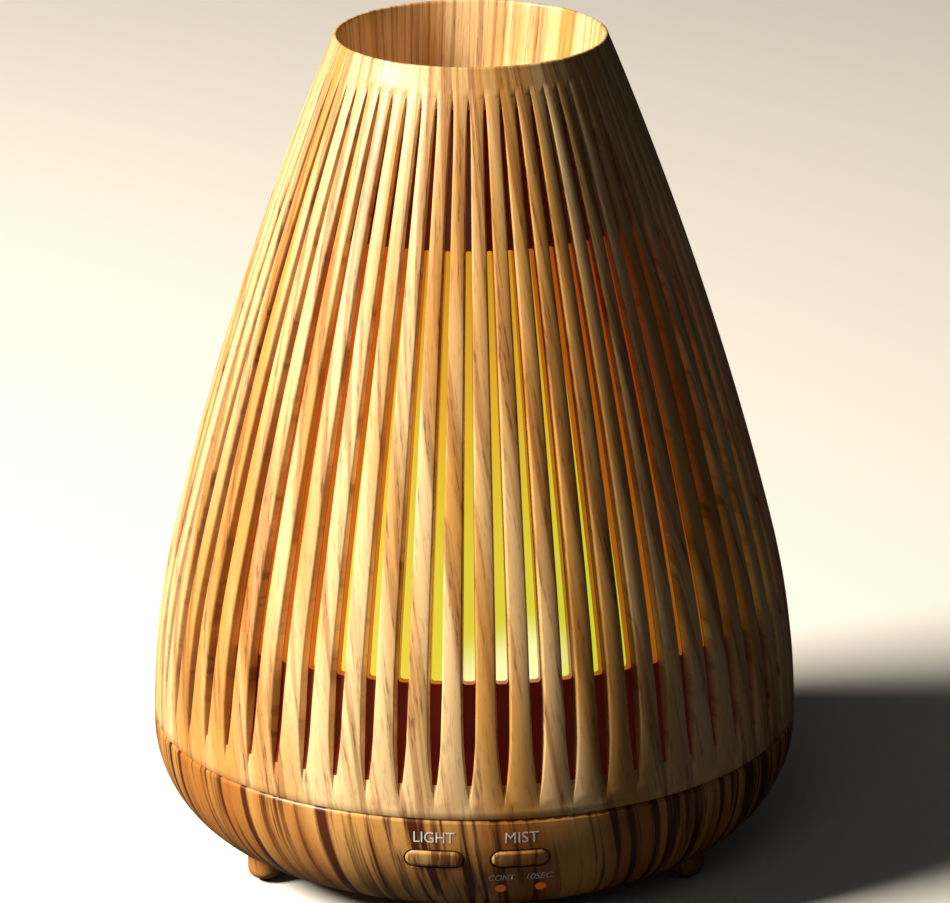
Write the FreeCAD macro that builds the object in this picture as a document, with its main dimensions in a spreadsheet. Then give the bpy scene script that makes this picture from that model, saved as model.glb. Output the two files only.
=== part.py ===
import FreeCAD
import Part
import Sketcher
import math
import os
from types import SimpleNamespace

# Ultrasonic oil diffuser: a fluted, pierced cover over a frosted light shade and a water basin,
# on a round base with three feet that holds the fan, the boards, two buttons and a power inlet.
# Millimetres. The origin is on the table under the middle, +Z is up and the buttons face -Y.

Vector = FreeCAD.Vector
doc = FreeCAD.newDocument("diffuser")

driving = {
    # overall shape
    "seam_radius": 70.0,        # widest radius, where the cover meets the base
    "overall_height": 181.6,
    "rim_radius": 28.9,         # outside of the mouth
    "foot_height": 3.8,
    "bowl_round": 25.3,         # corner arc of the base
    "bowl_band": 2.0,           # upright band between that arc and the seam
    "lower_arc": 180.0,         # cover's side arc next to the seam
    "upper_arc": 767.0,         # cover's flatter side arc, up to the mouth
    # cover
    "cover_wall": 4.3,
    "cover_turn": -1.26,        # how far the flutes are turned from the buttons, degrees
    "flute_count": 60,
    "flute_top_width": 1.3,
    "flute_wide_width": 3.0,    # at the foot of the windows
    "flute_low_width": 1.8,
    "flute_top_drop": 5.8,      # from the mouth down to the flutes
    "window_top_drop": 35.8,    # from the mouth down to the windows
    "window_rise": 28.4,        # from the seam up to the windows
    "flute_rise": 4.3,          # from the seam up to the flutes
    "flute_low_depth": 2.35,
    "flute_top_depth": 1.4,
    "flute_end_depth": 0.4,
    "floor_setback": 0.5,       # flute floors stand this far off the wall's inside
    "seam_bevel": 0.4,
    "lip": 1.0,
    "neck_lean": 0.9,
    "dish_depth": 18.0,         # mouth to the edge of the dish floor
    "dish_round": 6.0,
    "dish_fall": 1.5,
    "dish_wall": 2.2,
    "outlet_radius": 6.5,
    "collar_wall": 1.8,
    "collar_length": 7.0,
    # light shade
    "shade_gap": 3.0,
    "shade_wall": 1.6,
    "shade_cone": 5.0,
    "chimney_gap": 0.5,
    "chimney_wall": 1.5,
    # water basin and its deck
    "basin_gap": 2.5,           # from the basin's wall out to the ring of coloured lamps
    "basin_wall": 2.0,
    "basin_height": 55.0,       # from the underside of the deck
    "basin_corner": 4.0,
    "deck_thickness": 2.5,
    "deck_gap": 0.3,
    "locator_height": 2.5,
    "locator_wall": 1.4,
    "air_pipe_radius": 6.5,
    "air_pipe_bore": 5.0,
    "air_pipe_drop": 2.0,       # below the basin's edge
    "seal_width": 1.4,
    "seal_height": 1.0,
    "seal_gap": 0.1,
    # base
    "base_wall": 2.5,
    "edge_round": 0.9,
    "spigot_height": 4.0,
    "spigot_wall": 1.5,
    "spigot_gap": 0.3,
    "shelf_rim": 3.3,           # from the deck screws in to the shelf's edge
    "plate_radius": 43.5,
    "plate_thickness": 2.0,
    "plate_gap": 0.2,
    "ledge_width": 5.5,
    "foot_circle": 52.5,
    "foot_radius": 3.8,
    "foot_round": 2.1,          # the feet are rounded nubs
    "foot_count": 3,
    "pad_radius": 1.4,
    "pad_show": 0.8,            # how far a rubber pad stands below its foot
    "pad_sunk": 0.8,
    # allowances: joined features start this far inside, cuts this far outside
    "overlap": 0.5,
    "overrun": 1.0,
    # fasteners
    "screw_radius": 1.0,
    "screw_head": 1.9,
    "screw_head_height": 1.3,
    "screw_gap": 0.05,          # in the boss that the thread holds
    "screw_pass": 0.25,         # in the piece that it clamps
    "boss_wall": 2.0,
    "post_wall": 1.2,
    "base_screw_count": 4,
    "deck_screw_inset": 2.6,    # from the shade's locating ring in to the deck screws
    "deck_boss_height": 5.0,
    "base_boss_height": 5.7,
    # ultrasonic transducer
    "well_radius": 8.0,
    "disc_radius": 10.0,
    "disc_thickness": 1.3,
    "disc_seal_height": 4.0,
    "disc_seal_wall": 2.0,
    "disc_seal_gap": 0.1,
    "clamp_thickness": 1.5,
    "clamp_rim": 3.5,           # from the clamp screws out to the clamp's edge
    "clamp_bore": 7.0,
    "clamp_screw_inset": 3.9,   # from the seal's seat out to the clamp screws
    "clamp_screw_count": 3,
    # fan
    "fan_side": 30.0,
    "fan_depth": 10.0,
    "fan_wall": 1.0,            # at the middle of each side
    "fan_hole_inset": 3.0,
    "fan_lift": 3.5,            # above the inside of the bottom plate
    "fan_hub": 8.0,
    "fan_floor": 1.2,
    "fan_tip_gap": 0.6,
    "fan_shaft": 1.0,
    "fan_shaft_gap": 0.05,
    "fan_blade_count": 7,
    "hood_height": 3.9,
    "hood_step": 0.8,           # the duct's mouth inside the fan's bore
    "hood_wall": 1.2,
    "air_pipe_clear": 2.0,      # from the clamp out to the air pipe
    "air_pipe_gap": 0.2,
    # front panel
    "button_pitch": 18.0,
    "button_length": 12.3,
    "button_width": 4.2,
    "button_drop": 9.2,         # from the seam down to the buttons' middle
    "button_gap": 0.25,
    "button_show": 0.3,
    "button_flange": 1.0,
    "button_flange_rim": 1.0,
    "button_travel": 0.5,
    "lamp_near": 4.9,
    "lamp_far": 13.3,
    "lamp_drop": 17.6,
    "lamp_radius": 1.15,
    "lamp_gap": 0.1,
    "panel_setback": 15.0,      # from the widest radius to the control board
    "panel_width": 35.0,
    "panel_drop": 2.7,
    "panel_height": 16.9,
    "board_thickness": 1.6,
    "board_gap": 0.15,
    "rail_wall": 2.3,
    "rail_grip": 1.1,
    "switch_side": 6.0,
    "switch_depth": 3.5,
    "plunger_radius": 1.75,
    "plunger_show": 1.3,
    "plunger_gap": 0.1,
    # main board and power inlet
    "main_length": 44.0,
    "main_width": 30.0,
    "main_gap": 1.0,            # from the fan's side to the main board
    "main_lift": 3.2,
    "main_inset": 4.0,
    "jack_drop": 11.1,
    "jack_radius": 4.5,
    "jack_length": 10.0,
    "jack_setback": 8.0,
    "jack_collar": 3.9,
    "jack_collar_length": 3.6,
    "jack_bore": 2.9,
    "jack_pin": 1.05,
    "jack_back": 3.0,
    "jack_gap": 0.1,
    "jack_boss_wall": 1.6,
    # ring of coloured lamps
    "ring_width": 6.7,
    "ring_gap": 0.55,           # from the lamp board to the deck bosses
    "ring_thickness": 1.2,
    "led_count": 8,
    "led_side": 5.0,
    "led_height": 1.6,
    "led_turn": 11.0,
    "lead_radius": 0.7,
    "lead_hole": 2.0,
}


class Size:
    # A length, count or angle that carries its number and the formula that binds it to the sheet.
    def __init__(self, text, value):
        self.text = text
        self.value = value

    def combine(self, sign, other, value, swapped=False):
        first, second = (other, self) if swapped else (self, other)
        return Size(f"({first.text} {sign} {second.text})", value)

    def __add__(self, other):
        other = sized(other)
        return self.combine("+", other, self.value + other.value)

    def __radd__(self, other):
        return self + other

    def __sub__(self, other):
        other = sized(other)
        return self.combine("-", other, self.value - other.value)

    def __rsub__(self, other):
        other = sized(other)
        return self.combine("-", other, other.value - self.value, swapped=True)

    def __mul__(self, other):
        other = sized(other)
        return self.combine("*", other, self.value * other.value)

    def __rmul__(self, other):
        return self * other

    def __truediv__(self, other):
        other = sized(other)
        return self.combine("/", other, self.value / other.value)

    def __neg__(self):
        return Size(f"(0 - {self.text})", -self.value)


def sized(number):
    return number if isinstance(number, Size) else Size(f"{number:.6f}", float(number))


def root(area):
    return Size(f"sqrt({area.text})", math.sqrt(area.value))


def cosine(angle):
    angle = sized(angle)
    return Size(f"cos({angle.text} * 1 deg)", math.cos(math.radians(angle.value)))


def sine(angle):
    angle = sized(angle)
    return Size(f"sin({angle.text} * 1 deg)", math.sin(math.radians(angle.value)))


# ---- the sheets ----

sheet = doc.addObject("Spreadsheet::Sheet", "Sizes")
for row, (name, value) in enumerate(driving.items(), 1):
    sheet.set(f"A{row}", name)
    sheet.set(f"B{row}", str(value))
    sheet.setAlias(f"B{row}", name)
worked_out = doc.addObject("Spreadsheet::Sheet", "Derived")
s = SimpleNamespace(**{name: Size(f"Sizes.{name}", value) for name, value in driving.items()})


def derive(name, formula):
    # keep a worked-out size as a cell of its own, so that later formulas stay short
    row = len(worked_out.getUsedCells()) + 1
    worked_out.set(f"A{row}", "=" + formula.text)
    worked_out.setAlias(f"A{row}", name)
    size = Size(f"Derived.{name}", formula.value)
    setattr(s, name, size)
    return size


# ---- drawing and feature helpers ----

def new_body(label, several=False):
    body = doc.addObject("PartDesign::Body", label)
    body.Label = label
    if several:
        body.AllowCompound = True
    return body


def origin_of(body, role):
    return next(item for item in body.Origin.OriginFeatures if item.Role == role)


def bind(thing, path, size):
    thing.setExpression(path, sized(size).text)


def new_sketch(body, plane, place):
    # place is the sketch's origin along its own x, y and normal
    sketch = body.newObject("Sketcher::SketchObject", body.Label + "_sketch")
    sketch.AttachmentSupport = [(origin_of(body, plane), "")]
    sketch.MapMode = "FlatFace"
    for letter, size in zip("xyz", place):
        if not isinstance(size, (int, float)) or size:
            bind(sketch, f"AttachmentOffset.Base.{letter}", size)
    return sketch


def pin_point(sketch, item, end, x, y):
    for kind, size in (("DistanceX", x), ("DistanceY", y)):
        index = sketch.addConstraint(Sketcher.Constraint(kind, -1, 1, item, end, size.value))
        sketch.setExpression(f"Constraints[{index}]", size.text)


def arc_edge(start, end, radius):
    # the short arc between two points; a positive radius turns left on the way
    chord = end - start
    middle = (start + end) / 2
    left = Vector(-chord.y, chord.x, 0).normalize()
    rise = math.sqrt(max(radius * radius - chord.Length ** 2 / 4, 0.0))
    centre = middle + left * math.copysign(rise, radius)
    first = math.atan2(start.y - centre.y, start.x - centre.x)
    last = math.atan2(end.y - centre.y, end.x - centre.x)
    if radius < 0:
        first, last = last, first
    return Part.ArcOfCircle(Part.Circle(centre, Vector(0, 0, 1), abs(radius)), first, last)


def draw(sketch, outline):
    # outline: corners (x, y), or (x, y, radius) where an arc leads to that corner
    corners = [tuple(sized(value) for value in corner) for corner in outline]
    points = [Vector(corner[0].value, corner[1].value, 0) for corner in corners]
    items = []
    for index, corner in enumerate(corners):
        start = points[index - 1]
        end = points[index]
        if len(corner) == 3:
            item = sketch.addGeometry(arc_edge(start, end, corner[2].value))
            ends = (1, 2) if corner[2].value > 0 else (2, 1)
            radius = corner[2] if corner[2].value > 0 else -corner[2]
            mark = sketch.addConstraint(Sketcher.Constraint("Radius", item, radius.value))
            sketch.setExpression(f"Constraints[{mark}]", radius.text)
        else:
            item = sketch.addGeometry(Part.LineSegment(start, end))
            ends = (1, 2)
        items.append((item, ends))
    for index, (item, ends) in enumerate(items):
        after, after_ends = items[(index + 1) % len(items)]
        sketch.addConstraint(Sketcher.Constraint("Coincident", item, ends[1], after, after_ends[0]))
        pin_point(sketch, item, ends[1], corners[index][0], corners[index][1])


def draw_circle(sketch, x, y, radius):
    x, y, radius = sized(x), sized(y), sized(radius)
    centre = Vector(x.value, y.value, 0)
    item = sketch.addGeometry(Part.Circle(centre, Vector(0, 0, 1), radius.value))
    pin_point(sketch, item, 3, x, y)
    mark = sketch.addConstraint(Sketcher.Constraint("Radius", item, radius.value))
    sketch.setExpression(f"Constraints[{mark}]", radius.text)


def box_outline(x, y, length, width):
    return [(x - length / 2, y - width / 2), (x + length / 2, y - width / 2),
            (x + length / 2, y + width / 2), (x - length / 2, y + width / 2)]


def stadium_outline(x, y, length, width):
    # a slot with round ends, each end as two quarter arcs
    round_end = width / 2
    flat = length / 2 - round_end
    return [(x + flat, y - round_end), (x + length / 2, y, round_end),
            (x + flat, y + round_end, round_end), (x - flat, y + round_end),
            (x - length / 2, y, round_end), (x - flat, y - round_end, round_end)]


def finish_feature(body, feature, sketch, cut):
    before = body.Shape.Volume if cut else 0.0
    doc.recompute()
    sketch.Visibility = False
    if cut and not body.Shape.Volume < before - 1e-6:
        raise RuntimeError(f"{feature.Name} of {body.Label} cuts nothing")
    return feature


def revolve(body, outline, place=(0, 0, 0), cut=False, own_axis=False):
    # turned about Z, or about the sketch's own upright where it is placed off the middle
    sketch = new_sketch(body, "XZ_Plane", place)
    draw(sketch, outline)
    doc.recompute()
    kind = "PartDesign::Groove" if cut else "PartDesign::Revolution"
    feature = body.newObject(kind, body.Label + "_turned")
    feature.Profile = sketch
    feature.ReferenceAxis = (sketch, ["V_Axis"]) if own_axis else (origin_of(body, "Z_Axis"), [""])
    feature.Angle = 360
    return finish_feature(body, feature, sketch, cut)


def extrude(body, plane, place, length, outlines=(), circles=(), cut=False, back=False):
    # along the plane's normal (+Z, -Y or +X), or the other way where back is set
    sketch = new_sketch(body, plane, place)
    for outline in outlines:
        draw(sketch, outline)
    for circle in circles:
        draw_circle(sketch, *circle)
    doc.recompute()
    kind = "PartDesign::Pocket" if cut else "PartDesign::Pad"
    feature = body.newObject(kind, body.Label + ("_cut" if cut else "_pad"))
    feature.Profile = sketch
    feature.Reversed = (not back) if cut else back
    if length is None:
        feature.Type = "UpToFirst"
    else:
        bind(feature, "Length", length)
    return finish_feature(body, feature, sketch, cut)


def around(body, features, count):
    # repeats features evenly round the body's upright
    doc.recompute()
    pattern = body.newObject("PartDesign::PolarPattern", body.Label + "_around")
    pattern.Originals = features
    pattern.Axis = (origin_of(body, "Z_Axis"), [""])
    pattern.Angle = 360
    bind(pattern, "Occurrences", count)
    body.Tip = pattern
    doc.recompute()
    return pattern


def mirror(body, features):
    pattern = body.newObject("PartDesign::Mirrored", body.Label + "_mirrored")
    pattern.Originals = features
    pattern.MirrorPlane = (origin_of(body, "YZ_Plane"), [""])
    body.Tip = pattern
    doc.recompute()
    return pattern


def turn(thing, angle):
    thing.Placement = FreeCAD.Placement(Vector(), FreeCAD.Rotation(Vector(0, 0, 1), 1.0))
    thing.setExpression("Placement.Rotation.Angle", f"{sized(angle).text} * 1 deg")


def move(thing, x=0, y=0, z=0):
    for letter, size in zip("xyz", (x, y, z)):
        bind(thing, f"Placement.Base.{letter}", size)


# ---- levels and places worked out from the sizes ----

bowl_middle = derive("bowl_middle", s.seam_radius - s.bowl_round)
bowl_level = derive("bowl_level", s.foot_height + s.bowl_round)
seam = derive("seam", bowl_level + s.bowl_band)
inner_round = derive("inner_round", s.bowl_round - s.base_wall)
shelf_low = derive("shelf_low", seam - s.base_wall)
plate_top = derive("plate_top", s.foot_height + s.plate_thickness)
ledge_top = derive("ledge_top", plate_top + s.base_wall)
recess_radius = derive("recess_radius", s.plate_radius + s.plate_gap)
ledge_radius = derive("ledge_radius", recess_radius - s.ledge_width)
window_low = derive("window_low", seam + s.window_rise)
window_top = derive("window_top", s.overall_height - s.window_top_drop)
flute_low = derive("flute_low", seam + s.flute_rise)
flute_top = derive("flute_top", s.overall_height - s.flute_top_drop)
deck_top = derive("deck_top", seam + s.deck_thickness)
fan_low = derive("fan_low", plate_top + s.fan_lift)
fan_top = derive("fan_top", fan_low + s.fan_depth)
board_low = derive("board_low", plate_top + s.main_lift)
board_top = derive("board_top", board_low + s.board_thickness)
panel_front = derive("panel_front", s.seam_radius - s.panel_setback)
panel_top = derive("panel_top", shelf_low - 0.2)
button_level = derive("button_level", seam - s.button_drop)
lamp_level = derive("lamp_level", seam - s.lamp_drop)
jack_level = derive("jack_level", seam - s.jack_drop)
clamp_top = derive("clamp_top", seam - s.disc_seal_height)
clamp_low = derive("clamp_low", clamp_top - s.clamp_thickness)
dish_edge = derive("dish_edge", s.overall_height - s.dish_depth)
dish_middle = derive("dish_middle", dish_edge - s.dish_fall)
neck_radius = derive("neck_radius", s.rim_radius - s.lip - s.neck_lean)
under_dish = derive("under_dish", dish_edge - s.dish_wall)
basin_top = derive("basin_top", seam + s.basin_height)
hold_radius = derive("hold_radius", s.screw_radius + s.screw_gap)
post_radius = derive("post_radius", hold_radius + s.post_wall)
seal_seat = derive("seal_seat", s.disc_radius + s.disc_seal_wall + s.disc_seal_gap)
clamp_circle = derive("clamp_circle", seal_seat + s.clamp_screw_inset)
clamp_radius = derive("clamp_radius", clamp_circle + s.clamp_rim)
air_pipe_offset = derive("air_pipe_offset", clamp_radius + s.air_pipe_clear + s.air_pipe_radius)
fan_bore = derive("fan_bore", s.fan_side / 2 - s.fan_wall)
disc_low = derive("disc_low", seam - s.disc_seal_height / 2 - s.disc_thickness / 2)
fan_half_pitch = derive("fan_half_pitch", s.fan_side / 2 - s.fan_hole_inset)
fan_reach = derive("fan_reach", ledge_radius - post_radius - 0.3)
fan_offset = derive("fan_offset", root(fan_reach * fan_reach - fan_half_pitch * fan_half_pitch)
                    - fan_half_pitch)
main_offset = derive("main_offset", (s.fan_side + s.main_width) / 2 + s.main_gap)

# The cover's side is two arcs. The lower one leaves the seam upright; the upper one goes on
# without a corner and ends at the mouth. Their centres follow from the two radii.
low_x = derive("low_x", s.seam_radius - s.lower_arc)
reach = derive("reach", root((s.rim_radius - low_x) * (s.rim_radius - low_x)
                             + (s.overall_height - bowl_level) * (s.overall_height - bowl_level)))
arc_step = derive("arc_step", s.upper_arc - s.lower_arc)
along = derive("along", (arc_step * arc_step - s.upper_arc * s.upper_arc + reach * reach)
               / (reach * 2))
across = derive("across", root(arc_step * arc_step - along * along))
reach_x = derive("reach_x", (s.rim_radius - low_x) / reach)
reach_z = derive("reach_z", (s.overall_height - bowl_level) / reach)
high_x = derive("high_x", low_x + along * reach_x - across * reach_z)
high_z = derive("high_z", bowl_level + along * reach_z + across * reach_x)
lean_x = derive("lean_x", (low_x - high_x) / arc_step)
lean_z = derive("lean_z", (bowl_level - high_z) / arc_step)


def shoulder(inset):
    # where the two side arcs meet, inset from the outside
    radius = s.lower_arc - inset
    return low_x + lean_x * radius, bowl_level + lean_z * radius


def side_radius(level, inset=0.0):
    # radius of the cover's side at a level, inset square to the surface
    level = sized(level)
    if level.value < shoulder(inset)[1].value:
        centre_x, centre_z, radius = low_x, bowl_level, s.lower_arc - inset
    else:
        centre_x, centre_z, radius = high_x, high_z, s.upper_arc - inset
    rise = level - centre_z
    return centre_x + root(radius * radius - rise * rise)


def bowl_inside(level):
    # radius of the base's inside at a level
    drop = bowl_level - level
    return bowl_middle + root(inner_round * inner_round - drop * drop)


# The cover's inside sets the size of the spigot, the deck and everything that stands on it.
spigot_outer = derive("spigot_outer", side_radius(seam, s.cover_wall) - s.spigot_gap)
spigot_inner = derive("spigot_inner", spigot_outer - s.spigot_wall)
deck_radius = derive("deck_radius", spigot_inner - s.deck_gap)
locator_outer = derive("locator_outer", side_radius(deck_top, s.cover_wall + s.shade_gap + s.shade_wall)
                       - s.deck_gap)
locator_inner = derive("locator_inner", locator_outer - s.locator_wall)
deck_screw_circle = derive("deck_screw_circle", locator_inner - s.deck_screw_inset)
shelf_radius = derive("shelf_radius", deck_screw_circle - s.shelf_rim)
ring_outer = derive("ring_outer", deck_screw_circle - hold_radius - s.boss_wall - s.ring_gap)
ring_inner = derive("ring_inner", ring_outer - s.ring_width)
basin_outer = derive("basin_outer", ring_inner - s.basin_gap)
basin_radius = derive("basin_radius", basin_outer - s.basin_wall)


# ---- cover ----

def outer_cover():
    body = new_body("outer_cover")
    wall = s.cover_wall
    half_lip = s.lip / 2
    lip_level = s.overall_height - half_lip
    bevel_level = seam + s.seam_bevel
    dish_corner = neck_radius - s.dish_round
    collar_low = dish_middle - s.collar_length
    collar_outer = s.outlet_radius + s.collar_wall
    revolve(body, [
        (side_radius(seam, s.seam_bevel), seam),
        (side_radius(bevel_level), bevel_level),
        (*shoulder(0.0), s.lower_arc),
        (side_radius(lip_level), lip_level, s.upper_arc),
        (side_radius(lip_level) - half_lip, s.overall_height, half_lip),
        (side_radius(lip_level) - s.lip, lip_level, half_lip),
        (neck_radius, dish_edge + s.dish_round),
        (dish_corner, dish_edge, -s.dish_round),
        (s.outlet_radius, dish_middle),
        (s.outlet_radius, collar_low),
        (collar_outer, collar_low),
        (collar_outer, dish_middle - s.dish_wall),
        (dish_corner, under_dish),
        (side_radius(under_dish, wall), under_dish),
        (*shoulder(wall), -(s.upper_arc - wall)),
        (side_radius(seam, wall), seam, -(s.lower_arc - wall)),
    ])
    cut_start = s.rim_radius + 0.6
    top_half, wide_half, low_half = s.flute_top_width / 2, s.flute_wide_width / 2, s.flute_low_width / 2
    flute = extrude(body, "XZ_Plane", (0, 0, cut_start), s.seam_radius, cut=True, outlines=[[
        (wide_half, window_low),
        (top_half, flute_top - top_half),
        (0, flute_top, top_half),
        (-top_half, flute_top - top_half, top_half),
        (-wide_half, window_low),
        (-low_half, flute_low + low_half),
        (0, flute_low, low_half),
        (low_half, flute_low + low_half, low_half),
    ]])
    around(body, [flute], s.flute_count)
    backing = wall - s.floor_setback
    low_end = flute_low - 1.5
    revolve(body, [
        (side_radius(low_end, backing), low_end),
        (side_radius(low_end, s.flute_end_depth + 0.2), low_end),
        (side_radius(window_low, s.flute_low_depth), window_low),
        (side_radius(window_low, backing), window_low),
    ])
    top_end = flute_top + 1.0
    turn_level = under_dish + 0.5
    neck_back = s.rim_radius + 0.2
    revolve(body, [
        (side_radius(window_top, backing), window_top),
        (side_radius(window_top, s.flute_top_depth), window_top),
        (side_radius(top_end, s.flute_end_depth + 0.2), top_end),
        (neck_back, top_end),
        (neck_back, turn_level),
        (side_radius(turn_level, backing), turn_level),
    ])
    turn(body, s.cover_turn)
    return body


def light_shade():
    body = new_body("light_shade")
    outer = s.cover_wall + s.shade_gap
    inner = outer + s.shade_wall
    shade_top = window_top + 4.0
    chimney_outer = s.outlet_radius - s.chimney_gap
    chimney_inner = chimney_outer - s.chimney_wall
    chimney_top = dish_middle - 1.0
    cone_top = shade_top + s.shade_cone
    revolve(body, [
        (side_radius(deck_top, outer), deck_top),
        (*shoulder(outer), s.lower_arc - outer),
        (side_radius(shade_top, outer), shade_top, s.upper_arc - outer),
        (chimney_outer, cone_top),
        (chimney_outer, chimney_top),
        (chimney_inner, chimney_top),
        (chimney_inner, cone_top - s.shade_wall),
        (side_radius(shade_top - s.shade_wall, inner), shade_top - s.shade_wall),
        (*shoulder(inner), -(s.upper_arc - inner)),
        (side_radius(deck_top, inner), deck_top, -(s.lower_arc - inner)),
    ])
    return body


# ---- water basin ----

def water_tank():
    body = new_body("water_tank")
    seal_outer = deck_radius - 1.4
    seal_inner = seal_outer - s.seal_width - s.seal_gap * 2
    half_wall = s.basin_wall / 2
    revolve(body, [
        (s.well_radius, deck_top),
        (s.well_radius, seam),
        (seal_seat, seam),
        (seal_seat, clamp_top),
        (clamp_radius, clamp_top),
        (clamp_radius, seam),
        (seal_inner, seam),
        (seal_inner, seam + s.seal_height),
        (seal_outer, seam + s.seal_height),
        (seal_outer, seam),
        (deck_radius, seam),
        (deck_radius, deck_top),
        (locator_outer, deck_top),
        (locator_outer, deck_top + s.locator_height),
        (locator_inner, deck_top + s.locator_height),
        (locator_inner, deck_top),
        (basin_outer, deck_top),
        (basin_outer, basin_top - half_wall),
        (basin_outer - half_wall, basin_top, half_wall),
        (basin_radius, basin_top - half_wall, half_wall),
        (basin_radius, deck_top + s.basin_corner),
        (basin_radius - s.basin_corner, deck_top, -s.basin_corner),
    ])
    pipe_height = s.basin_height - s.air_pipe_drop
    extrude(body, "XY_Plane", (0, 0, seam), pipe_height,
            circles=[(air_pipe_offset, 0, s.air_pipe_radius)])
    extrude(body, "XY_Plane", (0, 0, seam - s.overrun), pipe_height + s.overrun * 2, cut=True,
            circles=[(air_pipe_offset, 0, s.air_pipe_bore)])
    diagonal = deck_screw_circle * cosine(45)
    boss = extrude(body, "XY_Plane", (0, 0, deck_top - s.overrun), s.deck_boss_height + 1.0,
                   circles=[(diagonal, diagonal, hold_radius + s.boss_wall)])
    pilot = extrude(body, "XY_Plane", (0, 0, seam - 1.0),
                    s.deck_thickness + s.deck_boss_height, cut=True,
                    circles=[(diagonal, diagonal, hold_radius)])
    around(body, [boss, pilot], s.base_screw_count)
    clamp_hole = extrude(body, "XY_Plane", (0, 0, clamp_top - s.overrun), s.disc_seal_height, cut=True,
                         circles=[(0, clamp_circle, hold_radius)])
    around(body, [clamp_hole], s.clamp_screw_count)
    extrude(body, "XY_Plane", (0, 0, seam - s.overrun), s.deck_thickness + s.overrun * 2, cut=True,
            circles=[(*lead_hole_place(), s.lead_hole)])
    ring = new_body("deck_seal")
    revolve(ring, [
        (seal_inner + s.seal_gap, seam), (seal_outer - s.seal_gap, seam),
        (seal_outer - s.seal_gap, seam + s.seal_height), (seal_inner + s.seal_gap, seam + s.seal_height),
    ])
    return [body, ring]


def lead_hole_place():
    middle = (ring_inner + ring_outer) / 2
    return -(middle * sine(30)), middle * cosine(30)


# ---- base ----

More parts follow.
